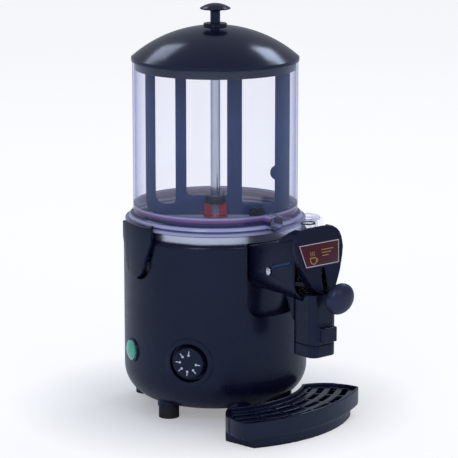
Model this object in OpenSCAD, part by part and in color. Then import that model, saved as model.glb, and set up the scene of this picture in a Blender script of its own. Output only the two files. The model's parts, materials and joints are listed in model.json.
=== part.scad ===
// Counter-top hot drink dispenser: a clear bowl with a slowly turning stirrer over a heated
// steel tank, a lever tap at the front and a half-moon drip tray below it.
// Millimetres. +Z is up, the tap faces -Y, the origin is on the table under the middle.

/* [Body] */
// Outer radius of the housing barrel
body_r = 131; // [130:0.5:133]
// Wall of the moulded housings
wall = 3; // [2.5:0.25:3.5]
// Height of the underside of the lower housing
base_z = 17; // [15:1:19]
// Height of the seam between lower and upper housing
seam_z = 98.5; // [96:0.5:101]
// Height of the top face of the upper housing
body_top_z = 260; // [258:0.5:261]
// Rounding of the top shoulder
shoulder_r = 6; // [4:0.5:7]
// Rounding of the bottom edge
bottom_round_r = 46; // [42:1:48]
// Radius of the six leg columns
leg_r = 16; // [15:0.5:17]
// Radius of the rubber foot tips
foot_r = 14.5; // [13.5:0.5:15]
// Distance of the base plate's edge inside the barrel
base_inset = 54; // [53:1:56]

/* [Tap recess and controls] */
// Half width of the recess behind the tap
recess_hw = 46; // [45:0.5:48]
// Depth of the recess below the housing's top
recess_depth = 105.5; // [103:0.5:108]
// Corner radius of the recess
recess_corner_r = 22; // [18:1:25]
// Depth of the curved panel at the back of the recess
panel_inset = 13; // [12.5:0.25:13.5]
// Height of the dial centre
dial_z = 92.6; // [91:0.2:95]
// Angle of the dial round the body from the front
dial_turn = 56.8; // [55:0.2:59]
// Radius of the dial
dial_r = 22; // [20:0.5:24]
// Outer radius of the dial bezel
bezel_r = 30; // [29:0.5:31]
// Height of the switch centre
switch_z = 94; // [92:0.5:96]
// Angle of the switch round the body from the front
switch_turn = 104; // [102:0.5:106]
// Radius of the switch button
button_r = 14.25; // [13:0.25:15]
// How far the button stands proud of the barrel
button_proud = 7; // [6:0.5:7.5]

/* [Tank] */
// Distance of the tank wall inside the barrel
tank_inset = 19; // [18:0.5:21]
// Depth of the tank below the housing's top
tank_depth = 64; // [62:1:68]
// Sheet thickness of the tank
tank_t = 1.5; // [1.2:0.1:2]
// Distance of the tank collar inside the barrel
collar_inset = 8.3; // [8:0.1:9]
// Height of the collar above the housing
collar_h = 10; // [9.5:0.1:10]
// Distance of the heater ring inside the tank wall
heater_inset = 37; // [32:1:42]
// Radius of the heater tube
heater_tube_r = 4.5; // [4:0.25:5]

/* [Bowl] */
// Distance of the bowl inside the barrel
bowl_inset = 14; // [13.5:0.25:14.5]
// Wall of the bowl
bowl_wall = 3; // [2.5:0.25:3.25]
// Height of lid and knob above the bowl
lid_stack = 80; // [75:1:85]
// Thickness of the bowl floor
bowl_floor = 4.5; // [4.25:0.25:4.5]
// Width of the clip flange outside the bowl
flange_out = 11.5; // [11:0.25:11.75]
// Thickness of the clip flange
flange_t = 4; // [3.5:0.25:4]
// Width of the step above the flange
step_out = 7; // [6:0.25:7.25]
// Height of that round step
step_h = 9.5; // [8.5:0.5:10]

/* [Lid] */
// Overhang of the lid rim over the bowl
lid_over = 1.4; // [1:0.1:2]
// Height of the lid rim
lid_rim_h = 4.5; // [4:0.25:5]
// Rise of the lid's dome above its rim
dome_h = 44.5; // [40:0.5:48]
// Wall of the lid
lid_wall = 2.5; // [2:0.25:3]
// Depth of the skirt inside the bowl
skirt_h = 12; // [10:0.5:13]
// Total height, to the top of the lid knob
total_h = 580; // [578:1:595]
// Radius of the lid knob
knob_r = 21.5; // [20:0.5:22]
// Rise of the knob cap's dome
knob_dome_h = 6; // [5:0.5:7]
// Thickness of the knob cap's edge
knob_edge = 2.5; // [2:0.25:3]
// Radius of the knob's stem
knob_stem_r = 7; // [6:0.5:8]

/* [Stirrer] */
// Radius of the steel tube
tube_r = 7; // [6.75:0.25:7.5]
// Radius of the drive shaft
shaft_r = 5; // [4.75:0.25:5]
// Depth of the paddle's top below the bowl's
paddle_drop = 17.5; // [16:0.5:25]
// Thickness of the paddle
paddle_t = 4; // [3:0.5:6]
// Room beside the paddle on its short side
paddle_gap_in = 15.2; // [13:0.2:19]
// Room beside the paddle on its long side
paddle_gap_out = 8.7; // [7:0.1:11]
// Angle at which the paddle stands
paddle_turn = -40; // [-45:1:-35]
// Radius of the round bump on the outer bar
bump_r = 10.8; // [9:0.2:12]
// Radius of the seal on the bowl floor
seal_r = 17.5; // [16.5:0.25:18]
// Height of the seal
seal_h = 1.4; // [1:0.1:1.6]
// Radius of the red drive lobes above the seal
lobe_r = 16.5; // [15.5:0.25:17]
// Height of the shaft collar above the bowl's floor
collar_rise = 19.3; // [18:0.1:19.5]
// Radius of the shaft collar
shaft_collar_r = 13.5; // [12.5:0.25:14.5]
// Radius of the cap on the tube
shaft_cap_r = 14; // [13:0.5:15]

/* [Drive] */
// Gear module
gear_m = 1.25; // [1.2:0.01:1.25]
// Teeth of the small gears
pinion_n = 12; // [12:1:12]
// Teeth of the large gears
gear_n = 48; // [48:1:48]
// Face width of the gears
gear_w = 6; // [5.5:0.25:6]
// Radius of the motor can
motor_r = 27; // [26:0.5:30]
// Height of the motor can
motor_h = 44; // [42:1:46]

/* [Tap] */
// Half width of the tap block
tap_hw = 40; // [39:0.5:41]
// Depth of the tap block's underside below the housing's top
tap_drop = 65; // [64:0.5:66]
// Distance of the tap block's front from the barrel
tap_out = 81; // [80:0.5:81]
// Distance of the valve axis from the barrel
valve_out = 65; // [64.5:0.5:65.5]
// Outer radius of the valve cylinder
valve_r = 13; // [12.75:0.25:13]
// Bore radius of the valve cylinder
valve_bore = 10.4; // [10.2:0.1:10.6]
// Outer radius of the spout from the bowl
spout_r = 12.5; // [12:0.25:12.5]
// Bore radius of the spout
spout_bore = 9.5; // [9:0.25:9.75]
// Distance of the lever's hinge from the barrel
hinge_out = 29; // [28.5:0.25:29.5]
// Depth of the lever's hinge below the housing's top
hinge_drop = 31; // [30.5:0.25:31.5]
// Length from hinge to the middle of the ball
lever_len = 104; // [102:0.5:106]
// Droop of the closed lever below level
lever_droop = 14.76; // [14.5:0.02:15]
// Radius of the lever's ball
ball_r = 22.5; // [21:0.5:24]
// Half thickness of the ball
ball_t = 14.5; // [13.5:0.5:15.5]
// Wire diameter of the return spring
wire_d = 1.6; // [1.4:0.1:1.8]
// Turns of the return spring
spring_turns = 6.5; // [5.5:0.5:7.5]

/* [Hood and cowl] */
// Lean of the hood's front from upright
hood_lean = 13.93; // [13.6:0.01:14.2]
// Distance of the hood's front from the barrel at its reference height
hood_out = 86; // [85.5:0.25:86.5]
// Half width of the hood
hood_hw = 43.5; // [43:0.25:44.5]
// Height of the hood above the housing's top
hood_rise = 34; // [32:0.5:35]
// Depth of the hood's lower end below the housing's top
hood_drop = 54.2; // [53.6:0.2:55]
// Wall of the hood
hood_wall = 2.5; // [2:0.25:2.75]
// Width of the cowl over the outlet
cowl_w = 46; // [45:0.5:47]
// Length of the cowl below the tap block
cowl_drop = 79; // [77:0.5:81]
// Height of the cowl cap
cowl_cap_h = 17; // [14:0.5:20]
// Corner radius of the cowl
cowl_corner = 12; // [10:0.5:13]
// Width of the pull tab
tab_w = 24; // [22:0.5:26]

/* [Bowl clips] */
// Angle of the clips behind the middle line
clip_turn = 5; // [4:0.5:6]
// How far the clips stand proud of the barrel
clip_out = 9; // [8.5:0.25:9]
// Half width of the clips at the top
clip_hw = 33.5; // [32:0.5:35]
// Radius of the clips' rounded lower end
clip_end_r = 22; // [21:0.5:22.5]
// Depth of the clips' lower end below the housing's top
clip_drop = 55; // [54:0.5:56]
// Depth of the clip hinge below the housing's top
clip_hinge_drop = 27; // [26:0.5:28]

/* [Drip tray] */
// Distance of the tray's middle from the barrel
tray_out = 56; // [56:0.5:60]
// Turn of the tray as it stands
tray_turn = 8; // [5:0.5:8]
// Radius of the tray's front
tray_front_r = 280; // [270:1:290]
// Distance of the front's middle from the tray's middle
tray_front = 34; // [33:0.5:36]
// Room between the barrel's radius and that of the tray's hollow back
tray_back_gap = 15; // [14.5:0.5:17]
// Radius of the tray's rounded ends
tray_end_r = 72; // [70:0.5:74]
// Distance of the end centres from the tray's middle
tray_end_x = 52; // [50:0.5:54]
// Distance of the end centres in front of the tray's middle
tray_end_y = 2; // [0:0.5:4]
// Height of the tray rim
tray_h = 39; // [38:0.5:42]
// Height of the ends' undersides
tray_step_z = 15; // [14:0.5:18]
// Half width of the plinth on which the tray stands
plinth_hw = 105; // [100:0.5:106]
// Radius of the plinth's front
plinth_r = 205; // [200:1:215]
// Width of the grid's slots
slot_w = 8; // [6:0.5:9]
// Width of the grid's ribs between slots
rib_w = 5; // [4:0.5:7]
// Distance of the slots' ends from the tray's outline
slot_margin = 10.5; // [10:0.5:12]

/* [Fits] */
// Radial clearance of turning and sliding fits
run_fit = 0.05; // [0.03:0.01:0.08]
// Radial clearance of fixed pins in their holes
pin_fit = 0.02; // [0.01:0.01:0.04]
// Gap between a moving part and its surroundings
free_gap = 0.6; // [0.5:0.05:0.8]

/* [Hidden] */
$fn = 96;
black = [0.12, 0.13, 0.18];
clear_tint = [0.78, 0.76, 0.9, 0.35];
steel = [0.75, 0.75, 0.77];
dark = [0.2, 0.2, 0.22];

// radii and distances that follow from the barrel
base_plate_r = body_r - base_inset;
panel_r = body_r - panel_inset;
tank_r = body_r - tank_inset;
collar_r = body_r - collar_inset;
heater_r = tank_r - heater_inset;
bowl_r = body_r - bowl_inset;
flange_r = bowl_r + flange_out;
step_r = bowl_r + step_out;
lid_r = bowl_r + lid_over;
paddle_in = bowl_r - bowl_wall - paddle_gap_in;
paddle_out = bowl_r - bowl_wall - paddle_gap_out;
tap_front = body_r + tap_out;
valve_y = body_r + valve_out;
hinge_y = body_r + hinge_out;
hood_y = body_r + hood_out;
clip_reach = body_r + clip_out;
tray_y = body_r + tray_out;
tray_back_r = body_r + tray_back_gap;
block_back = panel_r - 23;
recess_back = panel_r - 28;

// heights that follow from the housing's top and from the whole
recess_z = body_top_z - recess_depth;
tank_z = body_top_z - tank_depth;
chassis_z = body_top_z - 84;
tap_z = body_top_z - tap_drop;
hinge_z = body_top_z - hinge_drop;
ring_z = hinge_z - 3;
web_z = body_top_z + 2;
block_top = body_top_z + 21.2;
hood_top_z = body_top_z + hood_rise;
hood_z = body_top_z - hood_drop;
hood_ref_z = body_top_z + 16;
label_z = body_top_z - 2;
cowl_z = tap_z - cowl_drop;
cowl_seam_z = cowl_z + cowl_cap_h;
clip_z = body_top_z - clip_drop;
clip_hinge_z = body_top_z - clip_hinge_drop;
bowl_top_z = total_h - lid_stack;
paddle_top_z = bowl_top_z - paddle_drop;

// reach of the tilted ball ahead of its centre, and the shift that centres the whole
ball_y = hinge_y + lever_len * cos(lever_droop);
ball_z = hinge_z - lever_len * sin(lever_droop);
ball_reach = sqrt(pow(ball_t * cos(lever_droop), 2) + pow(ball_r * sin(lever_droop), 2));
gland_proud = 3;
rear_reach = body_r + gland_proud;
axis_y = (ball_y + ball_reach - rear_reach) / 2;

// stack of the bowl's foot
tank_top = body_top_z + collar_h;
bowl_z = tank_top + 1;
floor_z = bowl_z + bowl_floor;
flange_z = bowl_z + 1;
clip_edge_z = flange_z + flange_t;
gasket_top = tank_top + 4;
gasket_in = tank_r + 0.5;
gasket_out = gasket_in + 7;
spout_z = floor_z + spout_bore + 0.8;
collar_z = floor_z + collar_rise;
foot_gap = 2.2;
foot_round = 20;
lobe_z = floor_z + foot_gap;

// lid
rim_top = bowl_top_z + lid_rim_h;
apex_z = rim_top + dome_h;
dome_r = (lid_r * lid_r + dome_h * dome_h) / (2 * dome_h);
pad_r = 17;
pad_z = apex_z + 0.5;
washer_h = 2.5;
screw_r = 2.5;

// round the body: angles from +X
front = 270;
dial_az = front - dial_turn;
switch_az = front - switch_turn;
leg_spots = [[0.736, -0.0893], [0.3183, 0.8397], [0.2977, -0.7405]] * body_r;
foot_z = 0;

// gear train: output on the bowl axis, idler and motor in a row behind it
pinion_pr = gear_m * pinion_n / 2;
gear_pr = gear_m * gear_n / 2;
centre = pinion_pr + gear_pr;
pressure = 25;
tooth_thin = 0.3;
chassis_t = 2;
cover_z = chassis_z - 3;
low_gear_z = cover_z - 20;
high_gear_z = low_gear_z + gear_w + 3;
case_z = low_gear_z - 5;
case_r = gear_pr + 6;
axle_r = 3;
rotor_shaft_r = 2.5;

// tap kinematics
pin_r = 3;
nose_r = 3;
nose_u = (valve_y - hinge_y) / cos(lever_droop);
nose_z = hinge_z - (valve_y - hinge_y) * tan(lever_droop);
stirrup_in = 19;
stirrup_t = 3.5;
leg_half = 6;
arm_bend = 45;
fork_in = 24;
fork_t = 5;
ring_h = 6;
valve_top = spout_z + spout_r + 1.5;
yoke_z = valve_top + 0.9;
yoke_t = 2;
piston_z = floor_z - 4;
spring_r = valve_r + 2.5;
top_slope = tan(13.8);

// clip hinge line, inside the barrel so that its pin ends in the wall
clip_pin_x = body_r - 7.5;
clip_pin_r = 2;
pocket_x = panel_r;
clip_body_x = body_r + 2;

function hood_front(z) = -hood_y + (z - hood_ref_z) * tan(hood_lean);
function block_z(y) = block_top + (y + tap_front) * -top_slope;

// ---------- placing helpers ----------

module at_axis() translate([0, axis_y, 0]) children();

module disc(r, z0, z1) translate([0, 0, z0]) cylinder(r = r, h = z1 - z0);

module ring(ro, ri, z0, z1) difference() {
    disc(ro, z0, z1);
    disc(ri, z0 - 1, z1 + 1);
}

// a radial cross-section patch, for rotate_extrude
module patch(r0, r1, z0, z1) translate([r0, z0]) square([r1 - r0, z1 - z0]);

// 2D drawn in Y,Z and swept along X
module along_x(x0, x1) translate([x0, 0, 0]) rotate([90, 0, 90])
    linear_extrude(x1 - x0) children();

// 2D drawn in X,Z and swept along Y
module along_y(y0, y1) translate([0, y1, 0]) rotate([90, 0, 0])
    linear_extrude(y1 - y0) children();

// local Z points outward from the bowl axis
module radial(az, z) rotate([0, 0, az]) translate([0, 0, z]) rotate([0, 90, 0]) children();

module block(x0, x1, y0, y1, z0, z1) translate([x0, y0, z0]) cube([x1 - x0, y1 - y0, z1 - z0]);

// ---------- housing ----------

module recess_outline(d) {
    hw = recess_hw + d;
    r = recess_corner_r + d;
    translate([-hw, recess_z - d + r]) square([2 * hw, body_top_z + 20 - recess_z + d - r]);
    translate([-hw + r, recess_z - d]) square([2 * (hw - r), r + 1]);
    for (s = [-1, 1]) translate([s * (hw - r), recess_z - d + r]) circle(r = r);
}

// outline of a bowl clip in its own width and height, grown by d
module clip_outline(d, top) {
    r = clip_end_r + d;
    zc = clip_z + clip_end_r;
    hw = clip_hw + d;
    translate([0, zc]) circle(r = r);
    polygon([[-r, zc], [-hw, zc + 31], [-hw, top], [hw, top], [hw, zc + 31], [r, zc]]);
}

// opening behind a clip in which its lower end swings
module clip_pocket(d) intersection() {
    along_x(pocket_x - d, body_r + 10) for (z = [0, -2]) translate([0, z])
        clip_outline(free_gap + 1.4 + d, body_top_z + 30);
    block(pocket_x - d, body_r + 10, -60, 60, clip_z - 5 - d, clip_hinge_z + 9 + d);
}

module both_clips() for (az = [clip_turn, 180 - clip_turn]) rotate([0, 0, az]) children();

module upper_housing() color(black) at_axis() difference() {
    union() {
        difference() {
            rotate_extrude() difference() {
                union() {
                    patch(0, body_r, seam_z, body_top_z - shoulder_r);
                    patch(0, body_r - shoulder_r, seam_z, body_top_z);
                    translate([body_r - shoulder_r, body_top_z - shoulder_r])
                        circle(r = shoulder_r);
                }
                patch(-1, body_r - wall, seam_z - 1, body_top_z - shoulder_r);
                patch(-1, panel_r - wall, seam_z - 1, body_top_z + 1);
            }
            ring(body_r - shoulder_r, panel_r - wall - 1, body_top_z - shoulder_r - 1,
                 body_top_z - wall);
        }
        // back and sides of the tap recess
        intersection() {
            along_y(-body_r - 1, -recess_back) recess_outline(wall);
            ring(body_r - 0.5, panel_r - wall, recess_z - wall - 1, body_top_z);
        }
        // cups behind the bowl clips
        both_clips() intersection() {
            clip_pocket(wall);
            disc(body_r - 0.5, seam_z, body_top_z);
        }
        // ledge that carries the chassis plate
        difference() {
            ring(body_r - wall + 0.5, body_r - 9, chassis_z - 3, chassis_z);
            block(-recess_hw - wall - 1, recess_hw + wall + 1, -body_r, -recess_back, 0, 300);
        }
    }
    difference() {
        along_y(-body_r - 5, -recess_back) recess_outline(0);
        disc(panel_r, 0, 400);
    }
    both_clips() clip_pocket(0);
    both_clips() translate([clip_pin_x, 0, clip_hinge_z]) rotate([90, 0, 0])
        cylinder(r = clip_pin_r + pin_fit, h = 60, center = true);
    control_holes();
}

module control_holes() {
    radial(dial_az, dial_z) translate([0, 0, body_r - 31]) cylinder(r = bezel_r + pin_fit, h = 50);
    radial(switch_az, switch_z) translate([0, 0, body_r - 31])
        cylinder(r = button_r + 3.3 + pin_fit, h = 50);
}

module each_leg() for (s = [-1, 1], p = leg_spots) translate([s * p[0], p[1], 0]) children();

module lower_profile(d) {
    rc = body_r - bottom_round_r;
    zc = base_z + bottom_round_r;
    patch(0, rc, base_z + d, zc + 1);
    translate([rc, zc]) circle(r = bottom_round_r - d);
    patch(0, body_r - d, zc, seam_z + (d > 0 ? 1 : 0));
}

module screw_spots() for (a = [45:90:315]) rotate([0, 0, a])
    translate([base_plate_r - 5, 0, 0]) children();

module lower_housing() color(black) at_axis() difference() {
    union() {
        rotate_extrude() intersection() {
            lower_profile(0);
            patch(0, body_r, base_z, seam_z);
        }
        intersection() {
            each_leg() disc(leg_r, base_z, 55);
            disc(body_r, 0, 60);
        }
    }
    rotate_extrude() intersection() {
        lower_profile(wall);
        patch(0, body_r, base_z + wall, seam_z + 1);
    }
    disc(base_plate_r - 9, 0, base_z + wall + 1);
    screw_spots() disc(2 + pin_fit, 0, 30);
    control_holes();
    // inlet at the back
    translate([0, body_r + 10, gland_z()]) rotate([90, 0, 0])
        cylinder(r = 9 + pin_fit, h = 40);
}

function gland_z() = base_z + bottom_round_r + 16;

module base_plate() color(dark) at_axis() difference() {
    disc(base_plate_r, base_z - 2.5, base_z);
    screw_spots() disc(2 + pin_fit, 0, 30);
    for (a = [0:30:330]) rotate([0, 0, a])
        block(28, 58, -2.5, 2.5, base_z - 4, base_z + 1);
}

module base_screws() color(steel) at_axis() screw_spots() {
    disc(2, base_z - 2.5, base_z + wall + 4);
    disc(3.8, base_z - 4.5, base_z - 2.5);
}

module rubber_feet() color([0.1, 0.1, 0.1]) at_axis() each_leg() disc(foot_r, foot_z, base_z);

// ---------- tank ----------

module heater_ends() for (a = [70, 110]) rotate([0, 0, a])
    translate([heater_r, 0, 0]) children();

module water_tank() color(steel) at_axis() difference() {
    rotate_extrude() {
        patch(shaft_r + 9, tank_r, tank_z, tank_z + tank_t);
        patch(tank_r - tank_t, tank_r, tank_z, tank_top);
        patch(tank_r - tank_t, collar_r, tank_top - tank_t, tank_top);
        patch(collar_r - tank_t, collar_r, body_top_z, tank_top);
        patch(shaft_r + 9, shaft_r + 9 + tank_t, tank_z, body_top_z + 2);
    }
    heater_ends() disc(heater_tube_r + pin_fit, tank_z - 1, tank_z + 5);
}

module heating_element() color([0.55, 0.5, 0.45]) at_axis() {
    x = heater_r * sin(20);
    difference() {
        translate([0, 0, tank_z + 16]) rotate_extrude()
            translate([heater_r, 0]) circle(r = heater_tube_r);
        block(-x, x, heater_r / 2, heater_r * 1.2, tank_z, tank_z + 40);
    }
    heater_ends() disc(heater_tube_r, tank_z - 12, tank_z + 16 + heater_tube_r);
}

module bowl_gasket() color([0.75, 0.1, 0.35]) at_axis()
    ring(gasket_out, gasket_in, tank_top, gasket_top);

// ---------- bowl ----------

module bowl() color(clear_tint) at_axis() difference() {
    union() {
        rotate_extrude() {
            patch(0, bowl_r, bowl_z, floor_z);
            patch(bowl_r - bowl_wall, bowl_r, bowl_z, bowl_top_z);
            patch(0, bowl_r + 4, bowl_z, flange_z + 1);
            patch(0, flange_r, flange_z, floor_z);
            patch(bowl_r - 1, flange_r, flange_z, clip_edge_z);
            intersection() {
                translate([step_r - step_h, clip_edge_z]) circle(r = step_h);
                patch(bowl_r - 1, step_r, flange_z, clip_edge_z + step_h);
            }
        }
        translate([0, 0, spout_z]) rotate([90, 0, 0]) translate([0, 0, bowl_r - 1])
            cylinder(r = spout_r, h = valve_y - bowl_r + 1);
    }
    disc(bowl_r - bowl_wall, floor_z, bowl_top_z + 1);
    ring(gasket_out + pin_fit, gasket_in - pin_fit, bowl_z - 2, gasket_top);
    disc(shaft_r + 5, bowl_z - 1, floor_z + 1);
    translate([0, 0, spout_z]) rotate([90, 0, 0]) translate([0, 0, bowl_r - 12])
        cylinder(r = spout_bore, h = valve_y);
    translate([0, -valve_y, 0]) disc(valve_r, bowl_z - 5, bowl_top_z);
}

module shaft_seal() color([0.7, 0.12, 0.12]) at_axis() difference() {
    rotate_extrude() {
        patch(0, seal_r, floor_z, floor_z + seal_h);
        patch(0, shaft_r + 5 - pin_fit, bowl_z - 3, floor_z);
    }
    disc(shaft_r + run_fit, 0, 400);
}

// ---------- lid ----------

module lid() color(black) at_axis() difference() {
    rotate_extrude() {
        difference() {
            intersection() {
                translate([0, apex_z - dome_r]) circle(r = dome_r);
                patch(0, lid_r + 1, rim_top - 0.01, apex_z + 1);
            }
            translate([0, apex_z - dome_r]) circle(r = dome_r - lid_wall);
        }
        patch(0, pad_r, apex_z - lid_wall - 2.5, pad_z);
        patch(bowl_r - bowl_wall - free_gap - 1.8, lid_r, bowl_top_z, rim_top);
        patch(bowl_r - bowl_wall - free_gap - 1.8, bowl_r - bowl_wall - free_gap,
              bowl_top_z - skirt_h, rim_top);
    }
    disc(screw_r + pin_fit, 0, total_h);
}

module knob_washer() color(dark) at_axis() difference() {
    rotate_extrude() {
        patch(0, 15.5, pad_z, pad_z + washer_h);
        patch(0, 16.5, pad_z, pad_z + washer_h - 1);
        translate([15.5, pad_z + washer_h - 1]) circle(r = 1);
    }
    disc(screw_r + pin_fit, 0, total_h);
}

module lid_knob() color(black) at_axis() difference() {
    edge_z = total_h - knob_dome_h;
    dome_foot_r = knob_r - knob_edge / 2;
    cap_r = (dome_foot_r * dome_foot_r + knob_dome_h * knob_dome_h) / (2 * knob_dome_h);
    rotate_extrude() {
        patch(0, knob_stem_r, pad_z + washer_h, edge_z);
        patch(0, knob_r - knob_edge / 2, edge_z - knob_edge, edge_z);
        translate([knob_r - knob_edge / 2, edge_z - knob_edge / 2]) circle(r = knob_edge / 2);
        intersection() {
            translate([0, total_h - cap_r]) circle(r = cap_r);
            patch(0, dome_foot_r, edge_z - knob_edge / 2, total_h + 1);
        }
        // flare under the cap
        polygon([[0, edge_z - knob_edge - 3], [knob_stem_r, edge_z - knob_edge - 3],
                 [knob_stem_r + 4, edge_z - knob_edge + 0.5], [0, edge_z - knob_edge + 0.5]]);
    }
    disc(screw_r + pin_fit, 0, pad_z + washer_h + 12);
}

module knob_screw() color(steel) at_axis() {
    disc(screw_r, apex_z - lid_wall - 5, pad_z + washer_h + 12);
    disc(5, apex_z - lid_wall - 5.5, apex_z - lid_wall - 2.5);
}

// ---------- stirrer ----------

// round inside corner at (x, z), on the side s of it
module fillet(x, z, s, r) difference() {
    patch(min(x, x + s * r), max(x, x + s * r), z, z + r);
    translate([x + s * r, z + r]) circle(r = r);
}

// the paddle drawn in its own width and height; bars stand up from a foot
module paddle_outline() {
    foot_z = floor_z + foot_gap;
    foot_top = collar_z + 11;
    sill = foot_top - 12;
    bars = [[-paddle_in, -paddle_in + 14], [-56.6, -41.1], [16.6, 37.7],
            [paddle_out - 21, paddle_out]];
    difference() {
        union() {
            patch(-paddle_in, paddle_out, foot_z + foot_round, foot_top);
            patch(-paddle_in + foot_round, paddle_out - foot_round, foot_z, foot_top);
            intersection() {
                for (x = [foot_round - paddle_in, paddle_out - foot_round])
                    translate([x, foot_z + foot_round]) circle(r = foot_round);
                patch(-paddle_in, paddle_out, foot_z, foot_z + foot_round);
            }
            for (b = bars) patch(b[0], b[1], foot_top - 3, paddle_top_z);
            translate([paddle_out - 16.8, paddle_top_z - 144]) circle(r = bump_r);
        }
        // low windows between outer and inner bars
        patch(bars[0][1], bars[1][0], sill, foot_top + 1);
        patch(bars[2][1], bars[3][0], sill, foot_top + 1);
        // room for the lobes
        patch(-lobe_r, lobe_r, 0, collar_z);
    }
    fillet(bars[0][1], sill, 1, 14);
    fillet(bars[1][0], sill, -1, 6);
    fillet(bars[1][1], foot_top, 1, 8);
    fillet(bars[2][0], foot_top, -1, 2);
    fillet(bars[2][1], sill, 1, 6);
    fillet(bars[3][0], sill, -1, 8);
}

module stirrer_frame() color([0.28, 0.33, 0.42]) at_axis() difference() {
    union() {
        rotate([0, 0, paddle_turn]) along_y(-paddle_t / 2, paddle_t / 2) paddle_outline();
        disc(shaft_collar_r - 2.5, collar_z + 9, collar_z + 11);
    }
    disc(tube_r, 0, total_h);
    disc(shaft_collar_r + pin_fit, 0, collar_z + 9);
}

module scraper_blade() color(dark) at_axis() rotate([0, 0, paddle_turn]) difference() {
    along_y(-paddle_t / 2 - 1.5, paddle_t / 2 + 1.5) {
        patch(48, 69, floor_z + 0.6, floor_z + 8);
        patch(51, 66, floor_z + 0.6, floor_z + 11);
        for (x = [51, 66]) translate([x, floor_z + 8]) circle(r = 3);
    }
    along_y(-paddle_t / 2, paddle_t / 2) patch(40, 80, floor_z + foot_gap, floor_z + 20);
}

module stirrer_tube() color(steel) at_axis()
    ring(tube_r, shaft_r, collar_z + 9, paddle_top_z - 4.5);

module drive_shaft() color(steel) at_axis() disc(shaft_r, case_z + 0.3, paddle_top_z - 6);

module shaft_sleeve() color(steel) at_axis() ring(tube_r, shaft_r, lobe_z, collar_z);

module drive_lobes() color([0.7, 0.12, 0.12]) at_axis() rotate([0, 0, paddle_turn])
    intersection() {
        ring(lobe_r, tube_r, lobe_z, collar_z);
        block(-lobe_r, lobe_r, -5, 5, lobe_z, collar_z);
    }

module shaft_collar() color(dark) at_axis() ring(shaft_collar_r, shaft_r, collar_z, collar_z + 9);

module shaft_cap() color(dark) at_axis() difference() {
    rotate_extrude() {
        patch(0, shaft_cap_r - 2, paddle_top_z - 7, paddle_top_z);
        patch(0, shaft_cap_r, paddle_top_z - 7, paddle_top_z - 2);
        translate([shaft_cap_r - 2, paddle_top_z - 2]) circle(r = 2);
    }
    disc(tube_r, paddle_top_z - 10, paddle_top_z - 4.5);
}

// ---------- drive ----------

function inv_deg(a) = tan(a) * 180 / PI - a;
function half_tooth(n, r) = let (rp = gear_m * n / 2, rb = rp * cos(pressure))
    90 / n - tooth_thin / 2 / rp * 180 / PI + inv_deg(pressure)
    - (r > rb ? inv_deg(acos(rb / r)) : 0);
function gear_points(n) = let (rp = gear_m * n / 2, rr = rp - 1.05 * gear_m,
    ra = rp + 0.8 * gear_m)
    [for (k = [0:n - 1], s = [-1, 1], i = [0:4])
        let (j = s < 0 ? i : 4 - i, r = rr + (ra - rr) * j / 4,
             a = k * 360 / n + s * half_tooth(n, r))
        [r * cos(a), r * sin(a)]];

module gear(n, z0, h) translate([0, 0, z0]) linear_extrude(h) polygon(gear_points(n));

module at_idler() translate([0, centre, 0]) children();
module at_motor() translate([0, 2 * centre, 0]) children();

module output_gear() color([0.9, 0.88, 0.8]) at_axis() difference() {
    union() {
        gear(gear_n, high_gear_z, gear_w);
        disc(9, high_gear_z, cover_z - 0.6);
    }
    disc(shaft_r, 0, 400);
}

module idler_gear() color([0.88, 0.86, 0.78]) at_axis() at_idler() difference() {
    union() {
        gear(gear_n, low_gear_z, gear_w);
        rotate([0, 0, 180 / pinion_n]) gear(pinion_n, low_gear_z + 1, 2 * gear_w + 4);
    }
    disc(axle_r + run_fit, 0, 400);
}

module idler_axle() color(steel) at_axis() at_idler() disc(axle_r, case_z, chassis_z);

module case_plan(d) {
    circle(r = case_r - d);
    translate([0, centre]) circle(r = case_r - d);
    translate([0, 2 * centre]) circle(r = pinion_pr + 9 - d);
}

module case_bores() {
    disc(shaft_r + run_fit, 0, 400);
    at_idler() disc(axle_r + pin_fit, 0, 400);
}

module gear_case() color([0.6, 0.6, 0.62]) at_axis() difference() {
    translate([0, 0, case_z]) linear_extrude(cover_z - case_z) case_plan(0);
    translate([0, 0, case_z + 3]) linear_extrude(60) case_plan(2.5);
    case_bores();
    at_motor() disc(rotor_shaft_r + run_fit, 0, 400);
}

module gear_cover() color([0.55, 0.55, 0.57]) at_axis() difference() {
    translate([0, 0, cover_z]) linear_extrude(chassis_z - cover_z) case_plan(0);
    case_bores();
}

module chassis_plate() color(steel) at_axis() difference() {
    disc(body_r - wall - 0.5, chassis_z, chassis_z + chassis_t);
    disc(shaft_r + 6, 0, 400);
    block(-recess_hw - wall - 1, recess_hw + wall + 1, -150, 3 + wall - panel_r + 8, 0, 400);
}

module motor_case() color(steel) at_axis() at_motor() rotate_extrude() {
    z0 = case_z - motor_h;
    patch(rotor_shaft_r + run_fit, motor_r, z0, z0 + 3);
    patch(motor_r - 1.5, motor_r, z0, case_z);
    patch(rotor_shaft_r + run_fit, motor_r, case_z - 3, case_z);
}

module motor_stator() color([0.6, 0.35, 0.15]) at_axis() at_motor()
    ring(motor_r - 1.5, 13.5, case_z - motor_h + 7, case_z - 7);

module motor_rotor() color([0.5, 0.5, 0.52]) at_axis() at_motor() {
    disc(12.5, case_z - motor_h + 8, case_z - 8);
    disc(rotor_shaft_r, case_z - motor_h + 0.5, low_gear_z + gear_w + 1);
}

module motor_pinion() color([0.75, 0.65, 0.3]) at_axis() at_motor() difference() {
    rotate([0, 0, 180 / pinion_n]) gear(pinion_n, low_gear_z - 1, gear_w + 2);
    disc(rotor_shaft_r, 0, 400);
}

module terminal_block() color([0.85, 0.85, 0.8]) at_axis() difference() {
    block(-86, -50, 46, 62, chassis_z - 14, chassis_z);
    for (x = [-80, -68, -56]) translate([x, 54, 0]) disc(2.2, chassis_z - 20, chassis_z - 4);
}

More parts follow.
